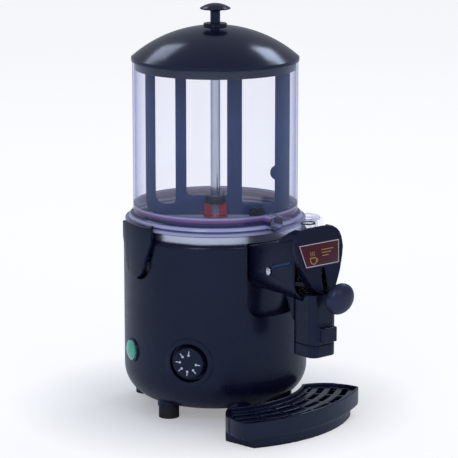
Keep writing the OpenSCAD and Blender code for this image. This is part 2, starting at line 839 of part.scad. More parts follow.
module cable_gland() color([0.15, 0.15, 0.16]) at_axis() translate([0, 0, gland_z()])
    rotate([-90, 0, 0]) difference() {
        union() {
            translate([0, 0, body_r - 14]) cylinder(r = 9, h = 14 + gland_proud);
            translate([0, 0, body_r - 14]) cylinder(r = 12, h = 8);
        }
        cylinder(r = 4, h = body_r + 20);
    }

// ---------- dial and switch ----------

module dial_bezel() color(black) at_axis() {
    // flat collar that lies on the barrel round the bezel
    intersection() {
        radial(dial_az, dial_z) difference() {
            cylinder(r = bezel_r + 5, h = 200);
            cylinder(r = bezel_r - 1, h = 201);
        }
        ring(body_r + 1.2, body_r, 0, 200);
    }
    intersection() {
    radial(dial_az, dial_z) difference() {
        translate([0, 0, panel_r - 1]) cylinder(r = bezel_r, h = 20);
        translate([0, 0, panel_r + 1.5]) cylinder(r = bezel_r - 2.5, h = 30);
        cylinder(r = 3 + run_fit, h = 200);
    }
    disc(body_r + 1.2, 0, 200);
    }
}

module thermostat_dial() color(black) at_axis() radial(dial_az, dial_z) difference() {
    translate([0, 0, panel_r + 3.5]) {
        cylinder(r = dial_r, h = 10);
        cylinder(r = dial_r - 2, h = 12);
        translate([0, 0, 10]) rotate_extrude() translate([dial_r - 2, 0]) circle(r = 2);
    }
    translate([0, 0, panel_r]) cylinder(r = 3, h = 9);
}

module dial_spindle() color(steel) at_axis() radial(dial_az, dial_z)
    translate([0, 0, panel_r - 8]) cylinder(r = 3, h = 17);

module thermostat() color([0.8, 0.8, 0.82]) at_axis() radial(dial_az, dial_z) difference() {
    translate([0, 0, panel_r - 21]) cylinder(r = 17, h = 20);
    translate([0, 0, panel_r - 8.5]) cylinder(r = 3 + run_fit, h = 20);
}

module switch_bezel() color(black) at_axis() radial(switch_az, switch_z) difference() {
    translate([0, 0, body_r - 17]) cylinder(r = button_r + 3.3, h = 18.5);
    cylinder(r = button_r + 0.1, h = 200);
}

module switch_button() color([0.1, 0.6, 0.25]) at_axis() radial(switch_az, switch_z) {
    lens_r = 27.4;
    rotate_extrude() {
        patch(0, button_r, body_r - 12, body_r + button_proud - 4);
        intersection() {
            translate([0, body_r + button_proud - lens_r]) circle(r = lens_r);
            patch(0, button_r, body_r + button_proud - 4.5, body_r + button_proud + 1);
        }
    }
    translate([0, 0, body_r - 26]) cylinder(r = 3, h = 16);
}

module switch_body() color([0.3, 0.3, 0.32]) at_axis() radial(switch_az, switch_z) difference() {
    translate([-12, -15, body_r - 34]) cube([24, 30, 17]);
    translate([0, 0, body_r - 30]) cylinder(r = 3 + run_fit, h = 30);
}

// ---------- bowl clips ----------

module clip() difference() {
    union() {
        // curved body and the hook that reaches over the flange
        intersection() {
            along_x(body_r - 31, clip_reach + 5) clip_outline(0, clip_edge_z + free_gap + 3.6);
            union() {
                ring(clip_reach, clip_body_x, clip_z - 5, clip_edge_z + free_gap + 3.6);
                intersection() {
                    ring(clip_reach, flange_r - 3.5, clip_edge_z + free_gap,
                         clip_edge_z + free_gap + 3.6);
                    block(0, 200, -26, 26, 0, 400);
                }
            }
        }
        // lug round the hinge pin
        translate([clip_pin_x, 0, clip_hinge_z]) rotate([90, 0, 0])
            cylinder(r = 4.6, h = 38, center = true);
        intersection() {
            block(clip_pin_x, clip_body_x + 1.5, -19, 19, clip_hinge_z - 4, clip_hinge_z + 4);
            disc(clip_reach - 1, 0, 400);
        }
    }
    translate([clip_pin_x, 0, clip_hinge_z]) rotate([90, 0, 0])
        cylinder(r = clip_pin_r + run_fit, h = 80, center = true);
}

module latch_right() color(black) at_axis() rotate([0, 0, clip_turn]) clip();

module latch_left() color(black) at_axis() rotate([0, 0, 180 - clip_turn]) clip();

module latch_pins() color(steel) at_axis() both_clips()
    translate([clip_pin_x, 0, clip_hinge_z]) rotate([90, 0, 0])
        cylinder(r = clip_pin_r, h = 58, center = true);

// ---------- tap ----------

module front_view_outline(d) {
    r = 25 - d;
    translate([-tap_hw + d, tap_z + 25]) square([2 * (tap_hw - d), 100]);
    translate([-tap_hw + 25, tap_z + d]) square([2 * (tap_hw - 25), 30]);
    for (s = [-1, 1]) translate([s * (tap_hw - 25), tap_z + 25]) circle(r = r);
}

module valve_axis() translate([0, -valve_y, 0]) children();

// windows in which the stirrup's legs run
module leg_ways() for (s = [-1, 1]) translate([s * (stirrup_in + stirrup_t / 2), -valve_y, 0])
    children();

module tap_housing() color(black) at_axis() difference() {
    union() {
        intersection() {
            along_y(-tap_front, -block_back) front_view_outline(0);
            along_x(-tap_hw, tap_hw) polygon([[-tap_front, tap_z - 1], [-block_back, tap_z - 1],
                [-block_back, block_z(-block_back)], [-tap_front, block_top]]);
        }
        // raised rib along each side
        for (s = [-1, 1])
            translate([s * tap_hw, 5.2 - valve_y, body_top_z - 17.2]) rotate([-16.2, 0, 0])
            cube([2, 38, 1.6], center = true);
    }
    disc(panel_r, 0, 400);
    // chamber for the lever, open at the front
    intersection() {
        along_y(-tap_front - 1, -hinge_y + 20) front_view_outline(wall);
        block(-100, 100, -300, 0, 0, web_z);
    }
    // cradle for the spout and way for the valve cylinder
    translate([0, 0, spout_z]) rotate([90, 0, 0]) cylinder(r = spout_r + 0.3, h = valve_y);
    block(-spout_r - 0.3, spout_r + 0.3, -valve_y, 0, spout_z, 400);
    valve_axis() disc(valve_r + 0.2, 0, 400);
    leg_ways() block(-stirrup_t / 2 - free_gap, stirrup_t / 2 + free_gap, -leg_half - free_gap,
        leg_half + free_gap, web_z - 1, 400);
    translate([0, -hinge_y, hinge_z]) rotate([0, 90, 0])
        cylinder(r = pin_r + pin_fit, h = 2 * tap_hw + 10, center = true);
}

module tap_pivot_pin() color(steel) at_axis() translate([0, -hinge_y, hinge_z])
    rotate([0, 90, 0]) cylinder(r = pin_r, h = 2 * tap_hw + 1, center = true);

// local X runs from the hinge to the ball, local Y is the machine's width
module on_lever() translate([0, -hinge_y, hinge_z]) rotate([0, lever_droop, -90]) children();

module tap_lever() color(steel) at_axis() on_lever() difference() {
    union() {
        for (s = [-1, 1]) {
            translate([0, 0, -3]) linear_extrude(6) {
                polygon([[0, s * fork_in], [0, s * (fork_in + fork_t)],
                         [arm_bend, s * (fork_in + fork_t)], [60, s * 6], [60, 0], [56, 0],
                         [54, s * 4], [arm_bend, s * fork_in]]);
            }
            // boss on the hinge pin, reaching to the chamber's wall
            translate([0, s * fork_in, 0]) rotate([-90 * s, 0, 0])
                cylinder(r = 7, h = tap_hw - wall - free_gap - fork_in);
            // nose that lifts the stirrup
            translate([nose_u, s * (stirrup_in + 0.3), 0]) rotate([-90 * s, 0, 0])
                cylinder(r = nose_r, h = fork_in - stirrup_in + 1);
        }
        translate([57, 0, 0]) rotate([0, 90, 0]) cylinder(r = 3.5, h = lever_len - 57 + 4);
    }
    rotate([90, 0, 0]) cylinder(r = pin_r + run_fit, h = 200, center = true);
}

module lever_knob() color(black) at_axis() on_lever() translate([lever_len, 0, 0])
    rotate([0, 90, 0]) difference() {
        rotate_extrude() polygon([for (a = [-90:7.5:90]) [ball_r * cos(a), ball_t * sin(a)]]);
        translate([0, 0, -40]) cylinder(r = 3.5, h = 44);
    }

module valve_cylinder() color(clear_tint) at_axis() valve_axis() difference() {
    disc(valve_r, tap_z - 5, valve_top);
    disc(valve_bore, 0, 400);
    translate([0, 0, spout_z]) rotate([-90, 0, 0]) cylinder(r = spout_bore, h = 40);
}

module tap_piston() color([0.85, 0.85, 0.9, 0.6]) at_axis() valve_axis() difference() {
    rotate_extrude() {
        patch(0, valve_bore - 0.1, piston_z, valve_top + 0.3);
        patch(0, 5, piston_z, yoke_z + yoke_t + 1);
        patch(0, 14, yoke_z + yoke_t, yoke_z + yoke_t + 5);
        patch(0, 16, yoke_z + yoke_t, yoke_z + yoke_t + 3);
        translate([14, yoke_z + yoke_t + 3]) circle(r = 2);
        patch(0, 4, yoke_z + yoke_t, yoke_z + yoke_t + 8);
    }
    piston_grooves() ring(valve_bore + 1, valve_bore - 1.5, 0, 2);
}

module piston_grooves() for (z = [piston_z + 1, spout_z + spout_bore + 0.6])
    translate([0, 0, z]) children();

module piston_rings() color([0.1, 0.1, 0.1]) at_axis() valve_axis()
    piston_grooves() ring(valve_bore - run_fit, valve_bore - 1.5, 0, 2);

module tap_stirrup() color(steel) at_axis() valve_axis() difference() {
    union() {
        for (s = [-1, 1]) translate([s * (stirrup_in + stirrup_t / 2), 0, 0])
            block(-stirrup_t / 2, stirrup_t / 2, -leg_half, leg_half, nose_z - 6, yoke_z + yoke_t);
        block(-stirrup_in - 1, stirrup_in + 1, -leg_half, leg_half, yoke_z, yoke_z + yoke_t);
        disc(stirrup_in + 0.5, ring_z, ring_z + ring_h);
    }
    disc(valve_r + free_gap, 0, yoke_z - 5);
    disc(5 + pin_fit, 0, 400);
    // level slots for the lever's noses
    translate([0, 0, nose_z]) rotate([0, 90, 0]) {
        for (y = [0.6, -1.6]) translate([0, y, 0])
            cylinder(r = nose_r + 0.25, h = 60, center = true);
        translate([0, -0.5, 0]) cube([2 * nose_r + 0.5, 2.2, 60], center = true);
    }
}

spring_steps = 16;
spring_sides = 8;
function spring_ring(i) = let (n = spring_turns * spring_steps, a = i * 360 / spring_steps,
    z = ring_z + ring_h + wire_d / 2 + i / n * (web_z - ring_z - ring_h - wire_d))
    [for (j = [0:spring_sides - 1]) let (b = j * 360 / spring_sides,
        r = spring_r + wire_d / 2 * cos(b))
        [r * cos(a), r * sin(a), z + wire_d / 2 * sin(b)]];

module tap_spring() color(steel) at_axis() valve_axis() {
    n = spring_turns * spring_steps;
    m = spring_sides;
    polyhedron(
        points = [for (i = [0:n]) each spring_ring(i)],
        faces = concat(
            [for (i = [0:n - 1], j = [0:m - 1])
                [i * m + j, i * m + (j + 1) % m, (i + 1) * m + (j + 1) % m, (i + 1) * m + j]],
            [[for (j = [m - 1:-1:0]) j]],
            [[for (j = [0:m - 1]) n * m + j]]));
}

// ---------- hood, label, cowl ----------

// front outline of the hood, drawn in by d
module hood_outline(d) {
    k = (hood_hw - d) / 43.5;
    h = (hood_top_z - hood_z - 2 * d) / 88.2;
    side = [[8, 0], [14, 2.2], [20, 8.2], [31, 26.2], [39, 44.2], [43.5, 57], [43.5, 71],
            [41.5, 77], [37.5, 82], [30, 86.4], [15, 88.2]];
    n = len(side);
    translate([0, hood_z + d]) polygon(concat(
        [for (i = [0:n - 1]) [side[i][0] * k, side[i][1] * h]],
        [for (i = [n - 1:-1:0]) [-side[i][0] * k, side[i][1] * h]]));
}

module tap_hood() color(black) at_axis() difference() {
    lo = hood_z - 5.8;
    hi = hood_top_z + 6;
    back = 12 - valve_y;
    hood_back = 10 - hinge_y;
    intersection() {
        along_y(-hood_y - 43, hood_back) hood_outline(0);
        along_x(-60, 60) polygon([[hood_front(lo), lo], [hood_front(hi), hi],
            [back, body_top_z + 18], [back, block_z(back)], [-tap_front, block_top],
            [-tap_front, lo]]);
    }
    intersection() {
        along_y(-hood_y - 43, hood_back) hood_outline(hood_wall);
        along_x(-60, 60) polygon([[hood_front(lo) + hood_wall + 0.5, lo],
            [hood_front(hi) + hood_wall + 0.5, hi], [hood_back, hi], [hood_back, lo]]);
    }
    // room for the valve and the stirrup behind the front
    block(-27, 27, 2.4 - tap_front, hood_back, body_top_z + 10, hi + 20);
    // slot for the lever
    block(-4, 4, -hood_y - 43, -valve_y - 4, hood_z - 2, hood_z + 34.2);
}

module label_plate() color([0.45, 0.1, 0.2]) at_axis()
    translate([0, hood_front(label_z), label_z]) rotate([90 - hood_lean, 0, 0]) linear_extrude(0.8)
        polygon([[-31, -16.5], [31, -16.5], [38, 16.5], [-38, 16.5]]);

module cowl_plan(d) {
    w = cowl_w / 2 - d;
    r = cowl_corner - d;
    square([2 * (w - r), 2 * w], center = true);
    square([2 * w, 2 * (w - r)], center = true);
    for (sx = [-1, 1], sy = [-1, 1]) translate([sx * (w - r), sy * (w - r)]) circle(r = r);
}

module at_cowl() translate([0, -valve_y - 14, 0]) children();

// outer form of the cowl, drawn in by d, with its swept-back shoulder under the block
module cowl_form(d, z0, z1) {
    at_cowl() translate([0, 0, z0]) linear_extrude(z1 - z0) cowl_plan(d);
    intersection() {
        along_x(-cowl_w / 2 + d + 3, cowl_w / 2 - d - 3) polygon([
            [-valve_y - 10, z0 + 30], [-valve_y + 9 - d, z0 + 30],
            [-valve_y + 9 - d, tap_z - 30], [-valve_y + 23 - d, z1], [-valve_y - 10, z1]]);
        disc(400, z0, z1);
    }
}

module spout_cowl() color(black) at_axis() difference() {
    union() {
        cowl_form(0, cowl_seam_z, tap_z);
        // lip that meets the hood in front of the block
        intersection() {
            at_cowl() translate([0, 0, tap_z - 1]) linear_extrude(hood_z - tap_z - 0.8)
                cowl_plan(0);
            block(-60, 60, -300, -tap_front - 0.3, 0, 300);
        }
        block(-tab_w / 2, tab_w / 2, -valve_y - 14 - cowl_w / 2 - 10, -valve_y - 30,
            cowl_seam_z + 5, cowl_seam_z + 26);
    }
    cowl_form(2.5, cowl_seam_z - 1, tap_z - 2.5);
    valve_axis() disc(valve_r + 0.2, 0, 400);
}

module cowl_cap() color(black) at_axis() difference() {
    cowl_cap_form();
    at_cowl() translate([0, 0, cowl_z + 2.5]) linear_extrude(60) cowl_plan(2.5);
    outlet_axis() disc(9, 0, 300);
}

module cowl_cap_form() at_cowl() translate([0, 0, cowl_z]) linear_extrude(cowl_seam_z - cowl_z)
    cowl_plan(0);

module outlet_axis() translate([0, -valve_y - 6, 0]) children();

module outlet_tube() color([0.85, 0.85, 0.88]) at_axis() difference() {
    union() {
        valve_axis() disc(valve_bore - pin_fit, tap_z - 9, tap_z + 2);
        outlet_axis() disc(6.5, cowl_z + 2, tap_z - 6);
    }
    valve_axis() disc(valve_bore - 2, tap_z - 6, tap_z + 5);
    intersection() {
        outlet_axis() disc(4.6, 0, 300);
        disc(400, 0, tap_z - 2);
    }
}

// ---------- drip tray ----------

module at_tray() translate([-2.2, -tray_y, 0]) rotate([0, 0, tray_turn]) children();

// distance of the hollow back's centre behind the tray's middle
tray_back_y = tray_y;

module tray_plan(d) difference() {
    intersection() {
        translate([0, tray_front_r - tray_front]) circle(r = tray_front_r - d, $fn = 200);
        union() {
            for (s = [-1, 1]) translate([s * tray_end_x, -tray_end_y]) circle(r = tray_end_r - d);
            translate([-tray_end_x, -tray_end_y - tray_end_r + d])
                square([2 * tray_end_x, 2 * (tray_end_r - d)]);
        }
    }
    translate([0, tray_back_y]) circle(r = tray_back_r + d);
}

// plan of the plinth below the tray's ends
module plinth_plan(d) intersection() {
    tray_plan(d);
    translate([0, plinth_r - tray_front + 1]) circle(r = plinth_r - d, $fn = 200);
    strip(plinth_hw - d);
}

module strip(hw) translate([-hw, -tray_front_r]) square([2 * hw, 2 * tray_front_r]);

module slab(z0, z1) translate([0, 0, z0]) linear_extrude(z1 - z0) children();

module drip_tray() color(black) at_axis() at_tray() difference() {
    union() {
        // ends a little behind the front
        slab(tray_step_z, tray_h) tray_plan(1.5);
        slab(tray_step_z, tray_h) intersection() {
            tray_plan(0);
            strip(plinth_hw + 10);
        }
        slab(0, tray_step_z + 1) plinth_plan(0);
    }
    slab(tray_h - 8, tray_h + 1) tray_plan(4);
    slab(3, tray_h) plinth_plan(8);
    slab(tray_step_z + 3, tray_h) tray_plan(8);
}

module drip_grid() color([0.15, 0.15, 0.18]) at_axis() at_tray() slab(tray_h - 8, tray_h - 4)
    difference() {
        tray_plan(4.5);
        difference() {
            intersection() {
                tray_plan(slot_margin);
                translate([0, tray_back_y]) for (i = [0:3]) let (r = tray_back_r + 10.5 + i * 17.3)
                    difference() {
                        circle(r = r + slot_w / 2);
                        circle(r = r - slot_w / 2);
                    }
            }
            for (a = [-22.6:11.3:22.7]) translate([0, tray_back_y]) rotate([0, 0, a])
                translate([-rib_w / 2, -300]) square([rib_w, 300]);
        }
    }

upper_housing();
lower_housing();
base_plate();
base_screws();
rubber_feet();
water_tank();
bowl_gasket();
bowl();
shaft_seal();
lid();
knob_washer();
lid_knob();
knob_screw();
stirrer_frame();
stirrer_tube();
drive_shaft();
shaft_sleeve();
drive_lobes();
shaft_collar();
shaft_cap();
scraper_blade();
output_gear();
idler_gear();
idler_axle();
gear_case();
gear_cover();
chassis_plate();
motor_case();
motor_stator();
motor_rotor();
motor_pinion();
heating_element();
thermostat();
terminal_block();
cable_gland();
dial_bezel();
thermostat_dial();
dial_spindle();
switch_bezel();
switch_button();
switch_body();
latch_left();
latch_right();
latch_pins();
tap_housing();
tap_pivot_pin();
tap_lever();
lever_knob();
valve_cylinder();
tap_piston();
piston_rings();
tap_stirrup();
tap_spring();
tap_hood();
label_plate();
spout_cowl();
cowl_cap();
outlet_tube();
drip_tray();
drip_grid();
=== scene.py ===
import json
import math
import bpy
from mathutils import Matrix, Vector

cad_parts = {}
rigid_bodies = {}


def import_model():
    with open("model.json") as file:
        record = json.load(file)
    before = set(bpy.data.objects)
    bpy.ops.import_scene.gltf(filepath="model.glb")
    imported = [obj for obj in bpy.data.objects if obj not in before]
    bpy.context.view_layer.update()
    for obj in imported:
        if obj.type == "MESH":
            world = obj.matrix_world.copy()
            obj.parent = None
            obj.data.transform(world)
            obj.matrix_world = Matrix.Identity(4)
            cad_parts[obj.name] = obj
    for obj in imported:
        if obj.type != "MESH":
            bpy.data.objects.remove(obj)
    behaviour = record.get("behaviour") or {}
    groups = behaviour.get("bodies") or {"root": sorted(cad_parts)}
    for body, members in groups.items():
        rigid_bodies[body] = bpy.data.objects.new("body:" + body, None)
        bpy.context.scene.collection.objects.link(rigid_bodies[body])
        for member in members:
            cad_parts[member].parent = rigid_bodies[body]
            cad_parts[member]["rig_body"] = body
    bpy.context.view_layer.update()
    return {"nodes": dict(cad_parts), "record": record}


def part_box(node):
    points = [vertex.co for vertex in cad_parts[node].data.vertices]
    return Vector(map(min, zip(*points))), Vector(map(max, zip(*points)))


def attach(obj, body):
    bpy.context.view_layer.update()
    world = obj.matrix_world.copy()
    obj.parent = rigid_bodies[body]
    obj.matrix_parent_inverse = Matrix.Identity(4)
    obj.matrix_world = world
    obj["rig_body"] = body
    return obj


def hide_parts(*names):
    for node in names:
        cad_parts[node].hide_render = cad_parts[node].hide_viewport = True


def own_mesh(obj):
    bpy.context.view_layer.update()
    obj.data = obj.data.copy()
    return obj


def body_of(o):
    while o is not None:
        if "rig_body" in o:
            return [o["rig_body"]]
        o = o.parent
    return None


bl_info = {
    "name": "Hot drink dispenser",
    "version": (1, 0, 0),
    "blender": (4, 5, 0),
    "location": "3D View > Sidebar > Dispenser",
    "description": "Finishes and small parts of a counter-top hot chocolate dispenser",
    "category": "Object",
}

import bmesh
import bpy
from mathutils import Matrix, Vector

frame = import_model()
NODES = frame["nodes"]
MM = 0.001
KNOB_LO, KNOB_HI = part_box("lid_knob")
AXIS_Y = (KNOB_LO.y + KNOB_HI.y) / 2
# directions that the dial and the hood's plate face, in radians
DIAL_ANGLE = math.radians(213.2)
HOOD_LEAN = math.radians(13.93)
# depth of fine surface grain, and thickness of print, in metres and millimetres
GRAIN_DEPTH = 0.00002
PRINT = 0.12
# corners of the border on the hood's plate, in millimetres from its middle
LABEL_CORNERS = ((-29.8, -15.3), (29.8, -15.3), (36.3, 15.3), (-36.3, 15.3))
MARK_WIDTH = 0.0013
MARK_HEIGHT = 0.00015
# ends of the ribs on the tap block's sides: y and z from the hinge pin
RIB_ENDS = ((-0.010, 0.0078), (-0.045, 0.0193))
# points closer than these are one: in drawn meshes, and in carried-over ones
MERGE = 1e-7
NODE_MERGE = 2e-6

CAMERA_PLACE = (-2.0933, -2.4920 + AXIS_Y, 0.95304)
CAMERA_TILT = 12.08
CAMERA_TURN = 40.37
LAMP_AIM = Vector((0, 0, 0.3))
# lamp: place, size, and its share of the key light's power
LAMPS = {
    "key": ((-3.0, -1.5, 2.3), (0.9, 2.2), 1.0),
    "front": ((-0.4, -3.3, 2.2), (1.1, 1.6), 0.45),
    "fill": ((2.3, 0.55, 2.65), (0.8, 0.8), 0.55),
    "rim": ((0.2, 2.4, 2.6), (0.9, 0.9), 0.35),
}


# ---------------------------------------------------------------- materials


def new_material(name):
    mat = bpy.data.materials.new(name)
    mat.use_nodes = True
    tree = mat.node_tree
    tree.nodes.clear()
    out = tree.nodes.new("ShaderNodeOutputMaterial")
    shader = tree.nodes.new("ShaderNodeBsdfPrincipled")
    tree.links.new(shader.outputs[0], out.inputs[0])
    return mat, tree, shader


def add(tree, kind, **values):
    node = tree.nodes.new(kind)
    for key, value in values.items():
        if key in node.inputs:
            node.inputs[key].default_value = value
        else:
            setattr(node, key, value)
    return node


def object_coords(tree, scale=(1, 1, 1)):
    coord = tree.nodes.new("ShaderNodeTexCoord")
    mapping = tree.nodes.new("ShaderNodeMapping")
    mapping.inputs["Scale"].default_value = scale
    tree.links.new(coord.outputs["Object"], mapping.inputs["Vector"])
    return mapping.outputs[0]


def noise(tree, vector, scale, detail=3.0, roughness=0.5):
    node = add(tree, "ShaderNodeTexNoise", Scale=scale, Detail=detail, Roughness=roughness)
    tree.links.new(vector, node.inputs["Vector"])
    return node.outputs["Fac"]


def spread(tree, value, low, high, source=(0.3, 0.7)):
    node = tree.nodes.new("ShaderNodeMapRange")
    node.inputs["From Min"].default_value = source[0]
    node.inputs["From Max"].default_value = source[1]
    node.inputs["To Min"].default_value = low
    node.inputs["To Max"].default_value = high
    tree.links.new(value, node.inputs["Value"])
    return node.outputs[0]


def two_tone(tree, factor, a, b):
    node = tree.nodes.new("ShaderNodeMix")
    node.data_type = "RGBA"
    node.inputs[6].default_value = (*a, 1)
    node.inputs[7].default_value = (*b, 1)
    tree.links.new(factor, node.inputs[0])
    return node.outputs[2]


def bump(tree, shader, height, strength, distance):
    node = add(tree, "ShaderNodeBump", Strength=strength, Distance=distance)
    tree.links.new(height, node.inputs["Height"])
    tree.links.new(node.outputs[0], shader.inputs["Normal"])
    return node


def shade(colour, k):
    return tuple(min(1.0, max(0.0, c * k)) for c in colour)


def plastic(
    name, colour, rough, grain=900.0, strength=0.12, vary=0.12, spec=0.5, tint=(1, 1, 1)
):
    """Moulded plastic: a faint mottle in colour and gloss, and a fine spark-eroded grain."""
    mat, tree, shader = new_material(name)
    vec = object_coords(tree)
    soft = noise(tree, vec, 14.0, 4.0)
    tree.links.new(
        two_tone(tree, spread(tree, soft, 0, 1), shade(colour, 1 - vary), shade(colour, 1 + vary)),
        shader.inputs["Base Color"],
    )
    gloss = noise(tree, vec, 55.0, 3.0)
    tree.links.new(spread(tree, gloss, rough * 0.88, rough * 1.15), shader.inputs["Roughness"])
    bump(tree, shader, noise(tree, vec, grain, 2.0), strength, GRAIN_DEPTH)
    shader.inputs["IOR"].default_value = 1.46
    shader.inputs["Specular IOR Level"].default_value = spec
    shader.inputs["Specular Tint"].default_value = (*tint, 1)
    return mat


def metal(name, colour, rough, stretch=(1, 1, 1), grain=400.0, strength=0.12):
    """Metal with fine finishing marks that run along the short side of the stretch."""
    mat, tree, shader = new_material(name)
    marks = noise(tree, object_coords(tree, stretch), grain, 4.0, 0.6)
    tree.links.new(
        two_tone(tree, spread(tree, marks, 0, 1), shade(colour, 0.9), shade(colour, 1.06)),
        shader.inputs["Base Color"],
    )
    tree.links.new(spread(tree, marks, rough * 0.75, rough * 1.3), shader.inputs["Roughness"])
    bump(tree, shader, marks, strength, GRAIN_DEPTH)
    shader.inputs["Metallic"].default_value = 1.0
    return mat


# heights in metres and colours of the bands painted on the bowl's foot: the pale bands are painted
# highlights, the darkest painted shade, and the magenta ones paint the gasket seen through the wall
FOOT_HIGHLIGHT_AND_SHADE_BANDS = (
    (0.2700, (0.5, 0.5, 0.78)),
    (0.2757, (0.5, 0.5, 0.78)),
    (0.2764, (0.07, 0.07, 0.2)),
    (0.2780, (0.09, 0.09, 0.24)),
    (0.2790, (0.6, 0.6, 0.85)),
    (0.2820, (0.52, 0.5, 0.8)),
    (0.2835, (0.03, 0.03, 0.1)),
    (0.2883, (0.03, 0.03, 0.11)),
    (0.2895, (0.2, 0.07, 0.27)),
    (0.2925, (0.3, 0.14, 0.38)),
    (0.2945, (0.52, 0.53, 0.78)),
    (0.2965, (0.14, 0.2, 0.35)),
)
FOOT_RADII = (0.1155, 0.131)


def foot_highlight_and_shade_bands(tree, through):
    """Foot of the bowl: painted highlight and shade bands by height, only within the foot's own
    radii.
    """
    coord = tree.nodes.new("ShaderNodeTexCoord")
    place = tree.nodes.new("ShaderNodeSeparateXYZ")
    tree.links.new(coord.outputs["Object"], place.inputs[0])
    x, y, z = place.outputs
    y = gn_math(tree, "SUBTRACT", y, AXIS_Y)
    square = gn_math(
        tree, "ADD", gn_math(tree, "MULTIPLY", x, x), gn_math(tree, "MULTIPLY", y, y)
    )
    reach = gn_math(tree, "SQRT", square, 0.0)
    low, high = FOOT_HIGHLIGHT_AND_SHADE_BANDS[0][0], FOOT_HIGHLIGHT_AND_SHADE_BANDS[-1][0]
    inside = gn_math(tree, "LESS_THAN", z, high)
    for op, limit in (("GREATER_THAN", FOOT_RADII[0]), ("LESS_THAN", FOOT_RADII[1])):
        inside = gn_math(tree, "MULTIPLY", inside, gn_math(tree, op, reach, limit))
    ramp = tree.nodes.new("ShaderNodeValToRGB")
    for i, (height, colour) in enumerate(FOOT_HIGHLIGHT_AND_SHADE_BANDS):
        at = (height - low) / (high - low)
        stops = ramp.color_ramp.elements
        stop = stops[i] if i < 2 else stops.new(at)
        stop.position, stop.color = at, (*colour, 1)
    tree.links.new(spread(tree, z, 0, 1, (low, high)), ramp.inputs[0])
    band_paint = add(tree, "ShaderNodeBsdfPrincipled", Roughness=0.12)
    tree.links.new(ramp.outputs[0], band_paint.inputs["Base Color"])
    blend = tree.nodes.new("ShaderNodeMixShader")
    tree.links.new(gn_math(tree, "MULTIPLY", inside, 0.9), blend.inputs[0])
    tree.links.new(through, blend.inputs[1])
    tree.links.new(band_paint.outputs[0], blend.inputs[2])
    return blend.outputs[0]


def clear(name, colour, edge, rough=0.03, veil=0.015, veil_edge=0.6):
    """Clear moulded plastic wall: light goes straight through it, tinted, with a lilac veil
    that grows where the wall is seen edge on, and a gloss that grows there too."""
    mat, tree, shader = new_material(name)
    vec = object_coords(tree, (1, 1, 0.25))
    haze = noise(tree, vec, 30.0, 3.0)
    tree.links.new(spread(tree, haze, rough * 0.6, rough * 1.6), shader.inputs["Roughness"])
    rim = add(tree, "ShaderNodeLayerWeight", Blend=0.3)
    steep = gn_math(tree, "POWER", rim.outputs["Facing"], 3.0)
    tone = two_tone(tree, steep, colour, edge)
    tree.links.new(tone, shader.inputs["Base Color"])
    ripple = bump(tree, shader, noise(tree, vec, 18.0, 2.0), 0.05, 0.0002)
    through = tree.nodes.new("ShaderNodeBsdfTransparent")
    tree.links.new(tone, through.inputs["Color"])
    wall = tree.nodes.new("ShaderNodeMixShader")
    tree.links.new(spread(tree, steep, veil, veil_edge, (0, 1)), wall.inputs[0])
    tree.links.new(through.outputs[0], wall.inputs[1])
    tree.links.new(shader.outputs[0], wall.inputs[2])
    shine = add(tree, "ShaderNodeBsdfAnisotropic", Roughness=rough, Color=(0.75, 0.8, 1.0, 1))
    tree.links.new(ripple.outputs[0], shine.inputs["Normal"])
    whole = tree.nodes.new("ShaderNodeMixShader")
    tree.links.new(spread(tree, steep, 0.018, 0.5, (0, 1)), whole.inputs[0])
    tree.links.new(wall.outputs[0], whole.inputs[1])
    tree.links.new(shine.outputs[0], whole.inputs[2])
    out = [n for n in tree.nodes if n.type == "OUTPUT_MATERIAL"][0]
    # the bowl's foot gets painted highlight and shade bands over the clear wall
    tree.links.new(foot_highlight_and_shade_bands(tree, whole.outputs[0]), out.inputs[0])
    return mat


